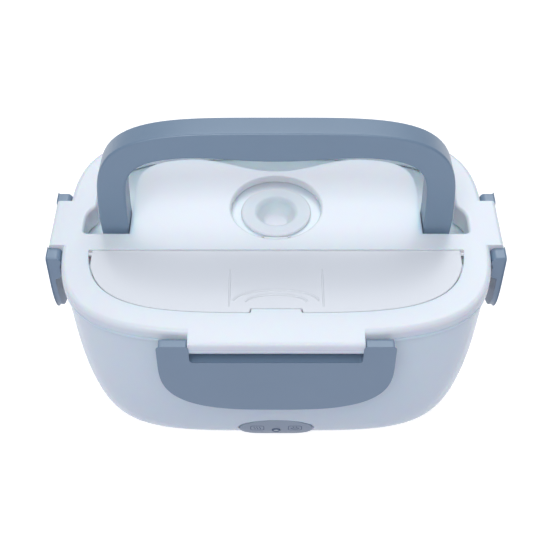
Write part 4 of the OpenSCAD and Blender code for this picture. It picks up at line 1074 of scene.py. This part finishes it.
def corners(piece):
    return [(x, y) for x in (-piece[0], piece[0]) for y in (-piece[1], piece[1])]


def makeBottomPlate():
    a = shellHalf(shell["height"], plan["halfLength"], shell["draftLength"]) - shell["lipWide"] - base["gap"]
    b = shellHalf(shell["height"], plan["halfDepth"], shell["draftDepth"]) - shell["lipWide"] - base["gap"]
    squareness = plan["squareness"] + shell["squarenessGain"]
    low, high = levels["shellLow"], levels["shellLow"] + base["thick"]
    rings = [ring(a - 0.4, b - 0.4, squareness, low), ring(a, b, squareness, low + 0.4), ring(a, b, squareness, high)]
    piece = loft("bottomPlate", rings)
    wide, long, pitch = base["slot"]
    for i in range(-4, 5):
        slot = [(x + i * pitch, y + (long - wide) / 2 * math.copysign(1, y)) for x, y in oval(wide / 2, wide / 2, 2, 24)
                if abs(y) > 0.01]
        cut(piece, prism("slot", slot, low - 1, high + 1))
    for x, y in corners(base["screw"]):
        cut(piece, lathe("screwHole", [(3.15, low - 1), (3.15, low + 1), (1.75, low + 1), (1.75, high + 1)], x, y, 40))
    for x, y in corners(base["foot"]):
        cut(piece, lathe("footHole", [(base["foot"][2] + 0.15, low - 1), (base["foot"][2] + 0.15, low + 0.8)], x, y, 48))
    return piece


def makeFoot(x, y):
    radius, high = base["foot"][2], levels["shellLow"] + 0.8
    profile = [(2.6, 0.6), (3.2, 0.15), (3.8, 0), (radius - 1, 0)]
    profile += [(radius - 1 + s, 1 - c) for s, c in quarter(4)][1:] + [(radius, high)]
    return lathe("foot", profile, x, y, 48)


def makeFeet():
    piece = makeFoot(*corners(base["foot"])[0])
    for x, y in corners(base["foot"])[1:]:
        weld(piece, makeFoot(x, y))
    piece.name = piece.data.name = "rubberFeet"
    return piece


def makeInlet():
    wide, high, z, y = inlet["wide"] / 2, inlet["high"] / 2, inlet["z"], inlet["y"]
    wall, bevel = inlet["wall"] - 0.15, inlet["bevel"]
    piece = prism("mainsInlet", [(-wide - wall, -high - wall), (wide + wall, -high - wall), (wide + wall, high + wall),
                                 (-wide - wall, high + wall)], -1, inlet["deep"])
    roundEdges(piece, lambda edge: bend(edge) > 60 and not between(edge, 2, 10, 30), 0.7)
    socket = [(-wide, -high), (wide, -high), (wide, high - bevel), (wide - bevel, high), (bevel - wide, high),
              (-wide, high - bevel)]
    cut(piece, prism("socket", softened(socket, 140, 0.9), -3, inlet["deep"] - inlet["wall"]))
    for x, up in ((-7, -2), (7, -2), (0, 2)):
        cut(piece, prism("pinHole", [(x - 1.05, up - 2.05), (x + 1.05, up - 2.05), (x + 1.05, up + 2.05), (x - 1.05, up + 2.05)],
                         10, 25))
    place(piece, turn=(-90, 0, 0))
    place(piece, turn=(0, 180, 0))
    place(piece, turn=(0, 0, 180))
    place(piece, (0, y, z))
    return piece


finishPiece(makeBottomPlate(), "base", materials["white"], ["bottom_plate"])
finishPiece(makeFeet(), "base", materials["rubber"], ["rubber_feet"])
finishPiece(makeInlet(), "base", materials["black"], ["mains_inlet"])
print("bottom and inlet ready")


# CAD pieces that stay as they are, each with its own finish

kept = {"heat_plate": "aluminium", "ptc_heater": "aluminium", "heater_clamp": "steel", "thermostat": "black",
        "thermal_fuse": "steel", "internal_leads": "lead", "lamp_board": "board", "inlet_pins": "steel",
        "latch_pins": "steel", "base_screws": "steel"}
for node, finish in kept.items():
    mesh = bpy.data.objects[node].data
    mesh.materials.clear()
    mesh.materials.append(materials[finish])
print("inner pieces finished")


# Studio

studio = {"sky": 0.355, "skyColour": (0.846, 0.907, 1.07), "floorPaint": (0.52, 0.535, 0.67), "floorGlow": 0.86,
          "floorWhite": 0.4, "lampColour": (0.93, 0.965, 1.0),
          "lights": {"key": ((-0.15, -0.8, 1.25), 0.9, 9.1), "rear": ((0.1, 1.1, 1.3), 1.0, 9.4)}}


def makeStudio():
    scene = bpy.context.scene
    scene.view_settings.view_transform = "Standard"
    world = bpy.data.worlds.new("studio")
    scene.world = world
    world.use_nodes = True
    sky = world.node_tree.nodes["Background"]
    sky.inputs["Strength"].default_value = studio["sky"]
    sky.inputs["Color"].default_value = (*studio["skyColour"], 1)
    bpy.ops.object.select_all(action="DESELECT")
    bpy.ops.mesh.primitive_plane_add(size=12)
    floor = bpy.context.object
    floor.name = "floor"
    floor.data.materials.append(floorPaint())
    for name, (spot, size, power) in studio["lights"].items():
        light = bpy.data.lights.new(name, "AREA")
        light.size = size
        light.energy = power
        light.color = studio["lampColour"]
        lamp = bpy.data.objects.new(name, light)
        scene.collection.objects.link(lamp)
        lamp.location = spot
        lamp.rotation_euler = (-lamp.location).to_track_quat("-Z", "Y").to_euler()


def floorPaint():                         # white to the camera, and a duller grey to the light that it bounces
    paint = bpy.data.materials.new("floorPaint")
    paint.use_nodes = True
    nodes, links = paint.node_tree.nodes, paint.node_tree.links
    nodes.remove(nodes["Principled BSDF"])
    path = nodes.new("ShaderNodeLightPath")
    seen = path.outputs["Is Camera Ray"]
    for ray in ("Is Glossy Ray", "Is Transmission Ray"):
        either = nodes.new("ShaderNodeMath")
        either.operation = "MAXIMUM"
        links.new(seen, either.inputs[0])
        links.new(path.outputs[ray], either.inputs[1])
        seen = either.outputs[0]
    dull, white, glow = [nodes.new("ShaderNodeBsdfDiffuse"), nodes.new("ShaderNodeBsdfDiffuse"),
                         nodes.new("ShaderNodeEmission")]
    dull.inputs["Color"].default_value = (*studio["floorPaint"], 1)
    white.inputs["Color"].default_value = (studio["floorWhite"],) * 3 + (1,)
    glow.inputs["Strength"].default_value = studio["floorGlow"]
    both, mix = nodes.new("ShaderNodeAddShader"), nodes.new("ShaderNodeMixShader")
    links.new(white.outputs[0], both.inputs[0])
    links.new(glow.outputs[0], both.inputs[1])
    links.new(seen, mix.inputs[0])
    links.new(dull.outputs[0], mix.inputs[1])
    links.new(both.outputs[0], mix.inputs[2])
    links.new(mix.outputs[0], nodes["Material Output"].inputs["Surface"])
    return paint


def makeCamera():
    camera = bpy.data.cameras.new("camera")
    camera.lens = 72
    camera.sensor_width = 36
    view = bpy.data.objects.new("camera", camera)
    bpy.context.scene.collection.objects.link(view)
    view.location = (-0.0006, -0.4263, 0.5069)
    view.rotation_euler = (math.radians(43.73), 0, 0)
    bpy.context.scene.camera = view


makeStudio()
makeCamera()
